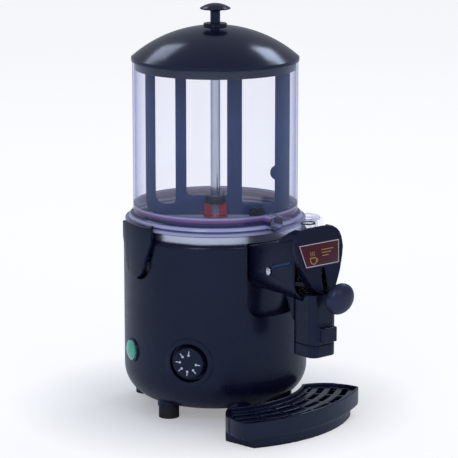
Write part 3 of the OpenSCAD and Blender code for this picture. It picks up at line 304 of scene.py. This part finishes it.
def make_finishes():
    navy = (0.0062, 0.0068, 0.025)
    cool = (0.62, 0.74, 1.0)
    return {
        "body_black": plastic("Black housing plastic", navy, 0.27, tint=cool, spec=0.55),
        # the ball's black is 1.5 times lighter than the housing's: painted light for its broad
        # highlight
        "ball_black": plastic(
            "Black ball", shade(navy, 1.5), 0.42, strength=0.03, tint=cool, spec=1.0
        ),
        "lid_black": plastic("Black lid gloss", navy, 0.17, strength=0.03, tint=cool, spec=0.7),
        "bowl_clear": clear("Clear lilac plastic", (0.985, 0.985, 1.0), (0.62, 0.6, 0.93)),
        "tank_steel": metal("Brushed tank steel", (0.84, 0.86, 0.99), 0.34, (1, 1, 12)),
        "bright_steel": metal("Polished steel", (0.82, 0.83, 0.88), 0.1, (1, 1, 0.1)),
        "black_steel": metal("Blackened steel", (0.035, 0.036, 0.045), 0.3, strength=0.05),
        "gasket_red": plastic("Magenta silicone", (0.36, 0.02, 0.15), 0.4),
        "seal_red": plastic("Red silicone", (0.42, 0.018, 0.04), 0.35),
        "paddle_slate": plastic(
            "Slate paddle plastic", (0.03, 0.062, 0.18), 0.42, tint=cool, spec=0.35
        ),
        "dark_plastic": plastic("Dark plastic", (0.008, 0.009, 0.016), 0.3, tint=cool),
        "gear_plastic": plastic("Natural nylon", (0.72, 0.69, 0.6), 0.45),
        "cast_case": metal("Die-cast alloy", (0.55, 0.55, 0.57), 0.5, grain=250.0, strength=0.4),
        "zinc_sheet": metal("Zinc-plated sheet", (0.55, 0.56, 0.58), 0.35, grain=90.0),
        "winding": plastic("Lacquered winding", (0.3, 0.1, 0.03), 0.3, grain=1500.0),
        "pinion_brass": metal("Machined brass", (0.7, 0.52, 0.2), 0.25),
        "ceramic": plastic("White ceramic", (0.75, 0.75, 0.7), 0.25),
        "foot_rubber": plastic("Black rubber", (0.012, 0.012, 0.016), 0.6, strength=0.4),
        "lens_green": lens("Green lens", (0.03, 0.4, 0.22), (0.3, 0.9, 0.75)),
        "label_print": plastic("Label plate", (0.085, 0.008, 0.02), 0.22, strength=0.03),
        "print_white": plastic("White print", (0.7, 0.73, 0.8), 0.4, strength=0.03),
        "print_gold": plastic("Gold print", (0.55, 0.3, 0.08), 0.35, strength=0.03),
    }


def lens(name, dark, light):
    """Clear green plastic with fine ribs; its colour is lighter where it is seen edge on, a painted
    sheen.
    """
    mat, tree, shader = new_material(name)
    vec = object_coords(tree)
    glow = add(tree, "ShaderNodeLayerWeight", Blend=0.35)
    # painted sheen: the light green is laid on where the lens is seen edge on
    tree.links.new(two_tone(tree, glow.outputs["Facing"], dark, light), shader.inputs["Base Color"])
    tree.links.new(spread(tree, noise(tree, vec, 60.0), 0.06, 0.14), shader.inputs["Roughness"])
    bump(tree, shader, noise(tree, vec, 350.0, 1.0), 0.15, 0.0001)
    shader.inputs["Coat Weight"].default_value = 1.0
    shader.inputs["Coat Roughness"].default_value = 0.04
    return mat


# ---------------------------------------------------------------- mesh helpers


def finish_piece(name, mesh, body, material=None, replaces=()):
    """Puts a mesh into the scene as one finished piece that rides on a body."""
    mesh.name = name
    if material is not None:
        mesh.materials.clear()
        mesh.materials.append(material)
    obj = bpy.data.objects.new(name, mesh)
    bpy.context.scene.collection.objects.link(obj)
    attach(obj, body)
    if replaces:
        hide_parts(*replaces)
    return obj


def mesh_from(name, points, faces):
    mesh = bpy.data.meshes.new(name)
    mesh.from_pydata([tuple(p) for p in points], [], faces)
    mesh.validate()
    return mesh


def smooth(mesh, degrees=35.0):
    """Smooth shading with sharp edges above the angle."""
    bm = bmesh.new()
    bm.from_mesh(mesh)
    bmesh.ops.remove_doubles(bm, verts=bm.verts, dist=MERGE)
    limit = math.radians(degrees)
    for f in bm.faces:
        f.smooth = True
    for e in bm.edges:
        e.smooth = len(e.link_faces) == 2 and e.calc_face_angle(math.pi) < limit
    bm.to_mesh(mesh)
    bm.free()
    return mesh


def closed(mesh):
    """Merges doubled points, and turns every face of a closed skin outward."""
    bm = bmesh.new()
    bm.from_mesh(mesh)
    bmesh.ops.remove_doubles(bm, verts=bm.verts, dist=MERGE)
    bmesh.ops.dissolve_degenerate(bm, dist=MERGE / 10, edges=bm.edges)
    bmesh.ops.recalc_face_normals(bm, faces=bm.faces)
    bm.to_mesh(mesh)
    bm.free()
    return mesh


def revolve(name, profile, steps=128):
    """Turns a closed (r, z) profile in millimetres round the Z axis."""
    n = len(profile)
    points, faces = [], []
    for i in range(steps):
        a = 2 * math.pi * i / steps
        points += [(r * MM * math.cos(a), r * MM * math.sin(a), z * MM) for r, z in profile]
    for i in range(steps):
        k = (i + 1) % steps
        for j in range(n):
            m = (j + 1) % n
            if profile[j][0] < 1e-6 and profile[m][0] < 1e-6:
                continue
            faces.append((i * n + j, k * n + j, k * n + m, i * n + m))
    return closed(mesh_from(name, points, faces))


def loft(name, rings):
    """Joins closed rings of equal length, in order, into one closed skin."""
    n = len(rings[0])
    points = [p for ring in rings for p in ring]
    faces = []
    for i in range(len(rings) - 1):
        for j in range(n):
            m = (j + 1) % n
            faces.append((i * n + j, i * n + m, (i + 1) * n + m, (i + 1) * n + j))
    faces.append(tuple(reversed(range(n))))
    faces.append(tuple(range((len(rings) - 1) * n, len(rings) * n)))
    return closed(mesh_from(name, points, faces))


def baked(obj):
    """The evaluated object as a plain mesh; the object itself is removed."""
    bpy.context.view_layer.update()
    graph = bpy.context.evaluated_depsgraph_get()
    mesh = bpy.data.meshes.new_from_object(obj.evaluated_get(graph))
    mesh.transform(obj.matrix_world)
    bpy.data.objects.remove(obj)
    return mesh


def merged_copy(node, flatten=None):
    """A working object with a carried-over part's mesh: doubles merged, flats made whole."""
    mesh = NODES[node].data.copy()
    bm = bmesh.new()
    bm.from_mesh(mesh)
    bmesh.ops.remove_doubles(bm, verts=bm.verts, dist=NODE_MERGE)
    if flatten:
        bmesh.ops.dissolve_limit(
            bm,
            angle_limit=math.radians(flatten),
            verts=bm.verts,
            edges=bm.edges,
            use_dissolve_boundaries=False,
        )
    bm.to_mesh(mesh)
    bm.free()
    obj = bpy.data.objects.new("work", mesh)
    bpy.context.scene.collection.objects.link(obj)
    return obj


def softened(node, width, segments=2, degrees=32.0):
    """A copy of a carried-over part with its sharp edges rounded."""
    obj = merged_copy(node, flatten=0.6)
    mod = obj.modifiers.new("round", "BEVEL")
    mod.width = width * MM
    mod.segments = segments
    mod.limit_method = "ANGLE"
    mod.angle_limit = math.radians(degrees)
    mod.use_clamp_overlap = False
    mod.harden_normals = False
    return smooth(baked(obj), 40.0)


def moulded(node, voxel, passes):
    """A copy of a carried-over part with every edge rounded, as it comes out of a mould."""
    obj = merged_copy(node)
    grid = obj.modifiers.new("grid", "REMESH")
    grid.mode = "VOXEL"
    grid.voxel_size = voxel * MM
    ease = obj.modifiers.new("ease", "SMOOTH")
    ease.factor = 0.5
    ease.iterations = passes
    return smooth(baked(obj), 60.0)


# ---------------------------------------------------------------- node trees


def new_tree(name, sockets):
    """A geometry tree with a geometry output and the named inputs."""
    tree = bpy.data.node_groups.new(name, "GeometryNodeTree")
    tree.interface.new_socket("Geometry", in_out="OUTPUT", socket_type="NodeSocketGeometry")
    for label, kind, value in sockets:
        item = tree.interface.new_socket(label, in_out="INPUT", socket_type=kind)
        if value is not None:
            item.default_value = value
    return tree, tree.nodes.new("NodeGroupInput"), tree.nodes.new("NodeGroupOutput")


def run_tree(name, tree, values, mesh=None):
    """Evaluates a tree once with its inputs set by identifier and returns a plain mesh."""
    obj = bpy.data.objects.new("work", mesh or bpy.data.meshes.new("work"))
    bpy.context.scene.collection.objects.link(obj)
    mod = obj.modifiers.new("tree", "NODES")
    mod.node_group = tree
    for item in tree.interface.items_tree:
        if item.in_out == "INPUT" and item.name in values:
            mod[item.identifier] = values[item.name]
    result = baked(obj)
    result.name = name
    return result


def gn(tree, kind, **values):
    node = tree.nodes.new(kind)
    for key, value in values.items():
        setattr(node, key, value)
    return node


def gn_math(tree, operation, a, b):
    node = gn(tree, "ShaderNodeMath", operation=operation)
    for i, v in enumerate((a, b)):
        if isinstance(v, (int, float)):
            node.inputs[i].default_value = v
        else:
            tree.links.new(v, node.inputs[i])
    return node.outputs[0]


def end_tree(tree, geometry, out, material):
    """Realize Instances and Set Material, which every tree ends in."""
    real = tree.nodes.new("GeometryNodeRealizeInstances")
    paint = tree.nodes.new("GeometryNodeSetMaterial")
    tree.links.new(geometry, real.inputs[0])
    tree.links.new(real.outputs[0], paint.inputs[0])
    tree.links.new(material, paint.inputs["Material"])
    tree.links.new(paint.outputs[0], out.inputs[0])


def ring_tree():
    """Copies of one part on a circle, each turned to face out from the middle."""
    tree, inp, out = new_tree(
        "Ring of copies",
        [
            ("Part", "NodeSocketObject", None),
            ("Count", "NodeSocketInt", 4),
            ("Radius", "NodeSocketFloat", 0.01),
            ("Start", "NodeSocketFloat", 0.0),
            ("Step", "NodeSocketFloat", 1.0),
            ("Material", "NodeSocketMaterial", None),
        ],
    )
    line = gn(tree, "GeometryNodePoints")
    tree.links.new(inp.outputs["Count"], line.inputs["Count"])
    index = tree.nodes.new("GeometryNodeInputIndex")
    turned = gn_math(tree, "MULTIPLY", index.outputs[0], inp.outputs["Step"])
    angle = gn_math(tree, "ADD", turned, inp.outputs["Start"])
    place = tree.nodes.new("ShaderNodeCombineXYZ")
    for i, op in enumerate(("COSINE", "SINE")):
        share = gn_math(tree, op, angle, 0.0)
        tree.links.new(
            gn_math(tree, "MULTIPLY", share, inp.outputs["Radius"]), place.inputs[i]
        )
    tree.links.new(place.outputs[0], line.inputs["Position"])
    turn = tree.nodes.new("ShaderNodeCombineXYZ")
    tree.links.new(angle, turn.inputs[2])
    part = tree.nodes.new("GeometryNodeObjectInfo")
    tree.links.new(inp.outputs["Part"], part.inputs["Object"])
    copies = tree.nodes.new("GeometryNodeInstanceOnPoints")
    tree.links.new(line.outputs[0], copies.inputs["Points"])
    tree.links.new(part.outputs["Geometry"], copies.inputs["Instance"])
    tree.links.new(turn.outputs[0], copies.inputs["Rotation"])
    end_tree(tree, copies.outputs[0], out, inp.outputs["Material"])
    return tree


def coil_tree():
    """A round wire wound as a spiral."""
    tree, inp, out = new_tree(
        "Coil",
        [
            ("Turns", "NodeSocketFloat", 6.0),
            ("Radius", "NodeSocketFloat", 0.01),
            ("Height", "NodeSocketFloat", 0.03),
            ("Wire radius", "NodeSocketFloat", 0.001),
            ("Material", "NodeSocketMaterial", None),
        ],
    )
    path = tree.nodes.new("GeometryNodeCurveSpiral")
    path.inputs["Resolution"].default_value = 40
    tree.links.new(inp.outputs["Turns"], path.inputs["Rotations"])
    for key in ("Start Radius", "End Radius"):
        tree.links.new(inp.outputs["Radius"], path.inputs[key])
    tree.links.new(inp.outputs["Height"], path.inputs["Height"])
    wire = tree.nodes.new("GeometryNodeCurvePrimitiveCircle")
    wire.inputs["Resolution"].default_value = 14
    tree.links.new(inp.outputs["Wire radius"], wire.inputs["Radius"])
    sweep = tree.nodes.new("GeometryNodeCurveToMesh")
    sweep.inputs["Fill Caps"].default_value = True
    tree.links.new(path.outputs[0], sweep.inputs["Curve"])
    tree.links.new(wire.outputs[0], sweep.inputs["Profile Curve"])
    end_tree(tree, sweep.outputs[0], out, inp.outputs["Material"])
    return tree


# ---------------------------------------------------------------- settings


class DispenserStage(bpy.types.PropertyGroup):
    floor_size: bpy.props.FloatProperty(
        name="Floor size", description="Radius of the pale floor", default=16.0, unit="LENGTH"
    )
    floor_colour: bpy.props.FloatVectorProperty(
        name="Floor colour",
        description="Colour of the pale floor",
        subtype="COLOR",
        default=(0.9, 0.9, 0.91),
    )
    floor_glow: bpy.props.FloatProperty(
        name="Floor glow", description="Strength that makes the floor read as white", default=1.45
    )
    # painted shadow: within this reach of the machine the floor's glow is weaker, so the floor
    # reads darker there
    painted_shadow_reach: bpy.props.FloatProperty(
        name="Contact",
        description="Reach of the darker floor round the machine",
        default=0.3,
        unit="LENGTH",
    )
    key_power: bpy.props.FloatProperty(
        name="Key light", description="Power of the large soft lamp", default=22.0
    )
    light_colour: bpy.props.FloatVectorProperty(
        name="Light colour",
        description="Cool white of the lamps",
        subtype="COLOR",
        default=(0.8, 0.87, 1.0),
    )
    room_light: bpy.props.FloatProperty(
        name="Room light", description="Strength of the even light from all sides", default=0.5
    )
    mirrored_room: bpy.props.FloatProperty(
        name="Mirrored room", description="Strength of the room in glossy surfaces", default=0.36
    )
    lens: bpy.props.FloatProperty(
        name="Lens",
        description="Focal length on a 36 mm wide sensor, in millimetres",
        default=183.19,
    )


# ---------------------------------------------------------------- stage


class DISPENSER_OT_stage(bpy.types.Operator):
    """Pale floor with a painted shadow round the machine, soft studio light and the camera"""

    bl_idname = "dispenser.stage"
    bl_label = "Stage"

    def execute(self, context):
        s = context.scene.dispenser_stage
        scene = context.scene
        scene.view_settings.view_transform = "Standard"
        cam_data = bpy.data.cameras.new("camera")
        cam_data.sensor_width = 36.0
        cam_data.lens = s.lens
        cam_data.clip_start, cam_data.clip_end = 0.05, 60.0
        cam = bpy.data.objects.new("camera", cam_data)
        scene.collection.objects.link(cam)
        cam.location = CAMERA_PLACE
        cam.rotation_euler = (math.radians(90 - CAMERA_TILT), 0, -math.radians(CAMERA_TURN))
        scene.camera = cam

        world = bpy.data.worlds.new("studio")
        scene.world = world
        world.use_nodes = True
        tree = world.node_tree
        tree.nodes.clear()
        out = tree.nodes.new("ShaderNodeOutputWorld")
        back = tree.nodes.new("ShaderNodeBackground")
        path = tree.nodes.new("ShaderNodeLightPath")
        seen = add(tree, "ShaderNodeMath", operation="MAXIMUM")
        tree.links.new(path.outputs["Is Camera Ray"], seen.inputs[0])
        tree.links.new(path.outputs["Is Transmission Ray"], seen.inputs[1])
        tone = two_tone(tree, seen.outputs[0], s.light_colour, (1, 1, 1))
        tree.links.new(tone, back.inputs["Color"])
        plain = spread(tree, path.outputs["Is Glossy Ray"], s.room_light, s.mirrored_room, (0, 1))
        bright = tree.nodes.new("ShaderNodeMix")
        tree.links.new(seen.outputs[0], bright.inputs[0])
        tree.links.new(plain, bright.inputs[2])
        bright.inputs[3].default_value = 1.0
        tree.links.new(bright.outputs[0], back.inputs["Strength"])
        tree.links.new(back.outputs[0], out.inputs[0])

        mesh = bpy.data.meshes.new("floor")
        r = s.floor_size
        mesh.from_pydata([(-r, -r, 0), (r, -r, 0), (r, r, 0), (-r, r, 0)], [], [(0, 1, 2, 3)])
        floor = bpy.data.objects.new("floor", mesh)
        scene.collection.objects.link(floor)
        mat, tree, shader = new_material("Pale floor")
        vec = object_coords(tree)
        tone = spread(tree, noise(tree, vec, 3.0), 0, 1)
        tree.links.new(
            two_tone(tree, tone, shade(s.floor_colour, 0.99), tuple(s.floor_colour)),
            shader.inputs["Base Color"],
        )
        shader.inputs["Roughness"].default_value = 0.6
        shader.inputs["Specular IOR Level"].default_value = 0.2
        out = [n for n in tree.nodes if n.type == "OUTPUT_MATERIAL"][0]
        glow = add(tree, "ShaderNodeEmission", Color=(1, 1, 1, 1), Strength=s.floor_glow)
        blend = tree.nodes.new("ShaderNodeMixShader")
        path = tree.nodes.new("ShaderNodeLightPath")
        # painted shadow: camera rays see less of the floor's glow near the machine, a dark patch
        # painted round it beyond the lamps' own shadow
        away = add(tree, "ShaderNodeVectorMath", operation="DISTANCE")
        tree.links.new(vec, away.inputs[0])
        away.inputs[1].default_value = (0, AXIS_Y, 0)
        glow_share_past_painted_shadow = spread(tree, away.outputs["Value"], 0.2, 0.5, (0.12, s.painted_shadow_reach))
        tree.links.new(
            gn_math(tree, "MULTIPLY", path.outputs["Is Camera Ray"], glow_share_past_painted_shadow), blend.inputs[0]
        )
        tree.links.new(shader.outputs[0], blend.inputs[1])
        tree.links.new(glow.outputs[0], blend.inputs[2])
        tree.links.new(blend.outputs[0], out.inputs[0])
        mesh.materials.append(mat)

        for name, (place, size, share) in LAMPS.items():
            data = bpy.data.lights.new(name, "AREA")
            data.shape = "RECTANGLE"
            data.size, data.size_y = size
            data.energy = s.key_power * share
            data.color = s.light_colour
            lamp = bpy.data.objects.new(name, data)
            scene.collection.objects.link(lamp)
            lamp.location = place
            lamp.rotation_euler = (LAMP_AIM - Vector(place)).to_track_quat("-Z", "Y").to_euler()
        return {"FINISHED"}


# ---------------------------------------------------------------- finishes


class DISPENSER_OT_finishes(bpy.types.Operator):
    """Gives every carried-over part the finish of its material slot"""

    bl_idname = "dispenser.finishes"
    bl_label = "Finishes"

    def execute(self, context):
        for row in frame["record"]["subparts"]:
            obj = NODES[row["node"]]
            mat = FINISH["ball_black" if row["node"] == "lever_knob" else row["material_slot"]]
            obj.data.materials.clear()
            obj.data.materials.append(mat)
        return {"FINISHED"}


# ---------------------------------------------------------------- rounded parts

# part: largest edge width in millimetres and steps across the edge
ROUNDED = {
    "tap_housing": (1.4, 3),
    "cowl_cap": (1.0, 3),
    "stirrer_frame": (0.9, 2),
    "latch_left": (1.2, 3),
    "latch_right": (1.2, 3),
    "dial_bezel": (0.5, 2),
    "switch_bezel": (1.1, 3),
    "shaft_collar": (0.8, 2),
    "label_plate": (0.25, 2),
}
# part: grid size in millimetres and smoothing passes
MOULDED = {
    "tap_hood": (0.7, 7),
    "spout_cowl": (0.8, 6),
    "drip_tray": (1.25, 3),
    "drip_grid": (0.8, 3),
}

# parts of the black housing plastic that are as glossy as the lid
GLOSSY = ("drip_tray", "drip_grid", "latch_left", "latch_right")


def slot_of(node):
    return next(r["material_slot"] for r in frame["record"]["subparts"] if r["node"] == node)


def dressed(node, mesh, suffix="finish"):
    """Puts a finished mesh in a carried-over part's place, on its body and in its finish."""
    slot = slot_of(node)
    finish = FINISH["lid_black" if node in GLOSSY else slot]
    return finish_piece(f"{node}_{suffix}", mesh, body_of(NODES[node])[0], finish, (node,))


class DISPENSER_OT_rounded_parts(bpy.types.Operator):
    """Gives the moulded parts their rounded edges"""

    bl_idname = "dispenser.rounded_parts"
    bl_label = "Rounded parts"

    def execute(self, context):
        for node, (width, steps) in ROUNDED.items():
            dressed(node, softened(node, width, steps))
        for node, (voxel, passes) in MOULDED.items():
            dressed(node, moulded(node, voxel, passes))
        return {"FINISHED"}


# ---------------------------------------------------------------- dial and label


class DispenserDial(bpy.types.PropertyGroup):
    marks: bpy.props.IntProperty(name="Marks", description="Marks round the dial", default=7)
    dot_ring: bpy.props.FloatProperty(
        name="Dot circle", description="Radius of the circle of dots", default=0.0118, unit="LENGTH"
    )
    dot: bpy.props.FloatProperty(
        name="Dot", description="Radius of a dot", default=0.0017, unit="LENGTH"
    )
    tick_ring: bpy.props.FloatProperty(
        name="Tick circle",
        description="Radius of the circle of ticks",
        default=0.0158,
        unit="LENGTH",
    )
    tick: bpy.props.FloatProperty(
        name="Tick", description="Length of a tick", default=0.0042, unit="LENGTH"
    )


def flat_disc(radius, height, sides=20):
    """A low disc that stands on z = 0."""
    ring = [(radius * math.cos(2 * math.pi * i / sides), radius * math.sin(2 * math.pi * i / sides))
            for i in range(sides)]
    return loft("disc", [[(x, y, z) for x, y in ring] for z in (0.0, height)])


def flat_bar(length, width, height, sides=8):
    """A low bar with round ends that lies along X round the origin."""
    ends = []
    for side, base in ((1, -math.pi / 2), (-1, math.pi / 2)):
        for i in range(sides + 1):
            a = base + math.pi * i / sides
            x = side * (length - width) / 2 + width / 2 * math.cos(a)
            ends.append((x, width / 2 * math.sin(a)))
    return loft("bar", [[(x, y, z) for x, y in ends] for z in (0.0, height)])


def join(name, meshes):
    """One mesh out of several."""
    bm = bmesh.new()
    for mesh in meshes:
        bm.from_mesh(mesh)
    whole = bpy.data.meshes.new(name)
    bm.to_mesh(whole)
    bm.free()
    return whole


def ring_of(mesh, tree, count, radius, start, step, material):
    """Copies of a mesh on a circle, as one plain mesh."""
    part = bpy.data.objects.new("part", mesh)
    bpy.context.scene.collection.objects.link(part)
    values = {
        "Part": part,
        "Count": count,
        "Radius": radius,
        "Start": math.radians(start),
        "Step": math.radians(step),
        "Material": material,
    }
    result = run_tree("ring", tree, values)
    bpy.data.objects.remove(part)
    return result


class DISPENSER_OT_dial_marks(bpy.types.Operator):
    """Dots and ticks printed on the dial's face"""

    bl_idname = "dispenser.dial_marks"
    bl_label = "Dial marks"

    def execute(self, context):
        s = context.scene.dispenser_dial
        white = FINISH["print_white"]
        tree = ring_tree()
        start, step = -5.0, -45.0
        dot = flat_disc(s.dot, MARK_HEIGHT)
        tick = flat_bar(s.tick, MARK_WIDTH, MARK_HEIGHT)
        dots = ring_of(dot, tree, s.marks, s.dot_ring, start, step, white)
        ticks = ring_of(tick, tree, s.marks, s.tick_ring, start, step, white)
        marks = join("dial_marks", [dots, ticks])
        outward = (math.cos(DIAL_ANGLE), math.sin(DIAL_ANGLE), 0)
        marks.transform(face_matrix("thermostat_dial", outward))
        finish_piece("dial_marks", marks, "dial", white)
        return {"FINISHED"}


def face_matrix(node, outward):
    """Matrix whose origin is on the outermost face of a part, its Z outward and its Y up."""
    out = Vector(outward).normalized()
    mesh = NODES[node].data
    reach = max(v.co.dot(out) for v in mesh.vertices)
    low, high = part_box(node)
    middle = (low + high) / 2
    origin = middle + out * (reach - middle.dot(out) - 0.00002)
    side = Vector((0, 0, 1)).cross(out).normalized()
    m = Matrix((side, out.cross(side), out)).transposed().to_4x4()
    m.translation = origin
    return m


class DISPENSER_OT_label(bpy.types.Operator):
    """Light border and a plain cup with steam on the label plate"""

    bl_idname = "dispenser.label"
    bl_label = "Label"

    def execute(self, context):
        place = face_matrix("label_plate", (0, -math.cos(HOOD_LEAN), math.sin(HOOD_LEAN)))
        border = loft_frame(LABEL_CORNERS, 0.9, PRINT)
        border.transform(place)
        finish_piece("label_border", border, "machine", FINISH["print_white"])
        cup = label_cup()
        cup.transform(place)
        finish_piece("label_cup", cup, "machine", FINISH["print_gold"])
        return {"FINISHED"}


def loft_frame(corners, width, height):
    """A low frame of even width inside a convex outline, standing on z = 0; millimetres."""
    n = len(corners)
    inner = []
    for i in range(n):
        p, q, r = (Vector(corners[(i + k) % n]) for k in (-1, 0, 1))
        a, b = (q - p).normalized(), (r - q).normalized()
        bend = (Vector((-a.y, a.x)) + Vector((-b.y, b.x))).normalized()
        inner.append(q + bend * width / max(0.2, bend.dot(Vector((-b.y, b.x)))))
    rings = []
    for pts, z in ((corners, 0), (corners, height), (inner, height), (inner, 0)):
        rings.append([(p[0] * MM, p[1] * MM, z * MM) for p in pts])
    points = [p for ring in rings for p in ring]
    faces = []
    for k in range(4):
        for i in range(n):
            m = (i + 1) % n
            j = (k + 1) % 4
            faces.append((k * n + i, k * n + m, j * n + m, j * n + i))
    return closed(mesh_from("frame", points, faces))


def ribbon(points, width, height):
    """A low ribbon of even width along flat points; millimetres."""
    left, right = [], []
    for i, p in enumerate(points):
        a = Vector(points[max(0, i - 1)])
        b = Vector(points[min(len(points) - 1, i + 1)])
        d = (b - a).normalized()
        side = Vector((-d.y, d.x)) * width / 2
        left.append(Vector(p) + side)
        right.append(Vector(p) - side)
    outline = left + right[::-1]
    return loft("ribbon", [[(p.x * MM, p.y * MM, z * MM) for p in outline] for z in (0.0, height)])


def label_cup():
    """A cup on a saucer with three wisps of steam, drawn in plain bold lines."""
    x0, y0 = -15.0, -6.5
    strokes = []
    bowl = [(x0 + 5.2 * math.cos(a), y0 + 5.6 * math.sin(a)) for a in
            [math.pi + math.pi * i / 16 for i in range(17)]]
    strokes.append(ribbon([(x0 - 5.2, y0 + 3), *bowl, (x0 + 5.2, y0 + 3)], 1.3, PRINT))
    strokes.append(ribbon([(x0 - 5.8, y0 + 3), (x0 + 5.8, y0 + 3)], 1.3, PRINT))
    handle = [(x0 + 5.4 + 2.6 * math.sin(a), y0 - 0.4 + 2.2 * math.cos(a)) for a in
              [math.pi * i / 10 for i in range(11)]]
    strokes.append(ribbon(handle, 1.0, PRINT))
    for k in (-3.2, 0.0, 3.2):
        wisp = [(x0 + k + 0.8 * math.sin(t * 2.2), y0 + 5.6 + t * 1.5) for t in
                [i / 3 for i in range(0, 13)]]
        strokes.append(ribbon(wisp, 0.8, PRINT))
    for k, y in ((0, 8.5), (1, 4.5), (2, 0.5)):
        strokes.append(ribbon([(2.0, y - 3), (24.0 - 5 * k, y - 3)], 1.1, PRINT))
    return join("cup", strokes)


# ---------------------------------------------------------------- tap fittings


class DispenserSpring(bpy.types.PropertyGroup):
    turns: bpy.props.FloatProperty(
        name="Turns", description="Turns of the return spring", default=6.5
    )
    wire: bpy.props.FloatProperty(
        name="Wire", description="Radius of the spring wire", default=0.0009, unit="LENGTH"
    )


class DISPENSER_OT_return_spring(bpy.types.Operator):
    """Round-wire return spring round the valve"""

    bl_idname = "dispenser.return_spring"
    bl_label = "Return spring"

    def execute(self, context):
        s = context.scene.dispenser_spring
        low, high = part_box("tap_spring")
        radius = (high.x - low.x) / 2 - s.wire
        values = {
            "Turns": s.turns,
            "Radius": radius,
            "Height": high.z - low.z - 2 * s.wire,
            "Wire radius": s.wire,
            "Material": FINISH["black_steel"],
        }
        mesh = run_tree("return_spring", coil_tree(), values)
        mesh.transform(
            Matrix.Translation(((low.x + high.x) / 2, (low.y + high.y) / 2, low.z + s.wire))
        )
        body = body_of(NODES["tap_spring"])[0]
        finish = FINISH["black_steel"]
        piece = finish_piece(
            "return_spring", smooth(mesh, 60), body, finish, ("tap_spring",)
        )
        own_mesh(piece)
        return {"FINISHED"}


class DispenserPin(bpy.types.PropertyGroup):
    head: bpy.props.FloatProperty(
        name="Pin head", description="Radius of the hinge pin's head", default=0.006, unit="LENGTH"
    )
    rib: bpy.props.FloatProperty(
        name="Rib",
        description="Radius of the ribs on the block's sides",
        default=0.0017,
        unit="LENGTH",
    )


class DISPENSER_OT_pin_heads(bpy.types.Operator):
    """Domed heads of the tap's hinge pin and the round ribs on the block's sides, the ribs in a
    lighter slate as a painted highlight line
    """

    bl_idname = "dispenser.pin_heads"
    bl_label = "Pin heads"

    def execute(self, context):
        s = context.scene.dispenser_pin
        low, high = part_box("tap_pivot_pin")
        block_low, block_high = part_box("tap_housing")
        middle = (low + high) / 2
        # stem inside the block, flat back, then a low dome; (radius, reach) in millimetres
        r, edge, crown = s.head / MM, 0.5, 1.9
        dome = [(0, -2), (2.5, -2), (2.5, 0), (r, 0), (r, edge)]
        for i in range(1, 8):
            a = math.pi / 2 * i / 8
            dome.append((r * math.cos(a), edge + crown * math.sin(a)))
        dome.append((0, edge + crown))
        heads, ribs = [], []
        for side, x in ((-1, block_low.x), (1, block_high.x)):
            head = revolve("head", dome, 48)
            head.transform(Matrix.Rotation(side * math.pi / 2, 4, "Y"))
            head.transform(Matrix.Translation((x, middle.y, middle.z)))
            heads.append(head)
            start, end = (Vector((x, middle.y + y, middle.z + z)) for y, z in RIB_ENDS)
            ribs.append(rib_between(start, end, s.rib))
        body = body_of(NODES["tap_housing"])[0]
        heads = smooth(join("pin_heads", heads), 50)
        finish_piece("pin_heads", heads, body, FINISH["bright_steel"])
        # the ribs are in the paddles' lighter slate, not the block's black: a painted highlight
        # line along the block's sides
        ribs = smooth(join("side_ribs", ribs), 60)
        finish_piece("side_ribs", ribs, body, FINISH["paddle_slate"])
        return {"FINISHED"}


def rib_between(start, end, radius, steps=16, caps=6):
    """A round rib with ball ends from one point to another."""
    along = (end - start).normalized()
    turn = along.to_track_quat("Z", "Y").to_matrix()
    rings = []
    for base, sign in ((start, -1), (end, 1)):
        angles = [math.pi / 2 * i / caps for i in range(caps)]
        if sign < 0:
            angles.reverse()
        for a in angles:
            middle = base + along * sign * radius * math.sin(a)
            rings.append([
                middle + turn @ Vector((math.cos(t), math.sin(t), 0)) * radius * math.cos(a)
                for t in [2 * math.pi * k / steps for k in range(steps)]
            ])
    return loft("rib", rings)


# ---------------------------------------------------------------- panel


class DISPENSER_PT_panel(bpy.types.Panel):
    """Lists the steps that dress the dispenser"""

    bl_label = "Dispenser"
    bl_idname = "DISPENSER_PT_panel"
    bl_space_type = "VIEW_3D"
    bl_region_type = "UI"
    bl_category = "Dispenser"

    def draw(self, context):
        for cls in OPERATORS:
            self.layout.operator(cls.bl_idname)
        for name in SETTINGS:
            box = self.layout.box()
            group = getattr(context.scene, name)
            for key in group.__annotations__:
                box.prop(group, key)


OPERATORS = (
    DISPENSER_OT_stage,
    DISPENSER_OT_finishes,
    DISPENSER_OT_rounded_parts,
    DISPENSER_OT_dial_marks,
    DISPENSER_OT_label,
    DISPENSER_OT_return_spring,
    DISPENSER_OT_pin_heads,
)
SETTINGS = {
    "dispenser_stage": DispenserStage,
    "dispenser_dial": DispenserDial,
    "dispenser_spring": DispenserSpring,
    "dispenser_pin": DispenserPin,
}
FINISH = {}


def register():
    for cls in (*SETTINGS.values(), *OPERATORS, DISPENSER_PT_panel):
        bpy.utils.register_class(cls)
    for name, cls in SETTINGS.items():
        setattr(bpy.types.Scene, name, bpy.props.PointerProperty(type=cls))


def unregister():
    for name in SETTINGS:
        delattr(bpy.types.Scene, name)
    for cls in (DISPENSER_PT_panel, *reversed(OPERATORS), *SETTINGS.values()):
        bpy.utils.unregister_class(cls)


def main():
    register()
    FINISH.update(make_finishes())
    for cls in OPERATORS:
        group, op = cls.bl_idname.split(".")
        getattr(getattr(bpy.ops, group), op)()


if __name__ == "__main__":
    main()
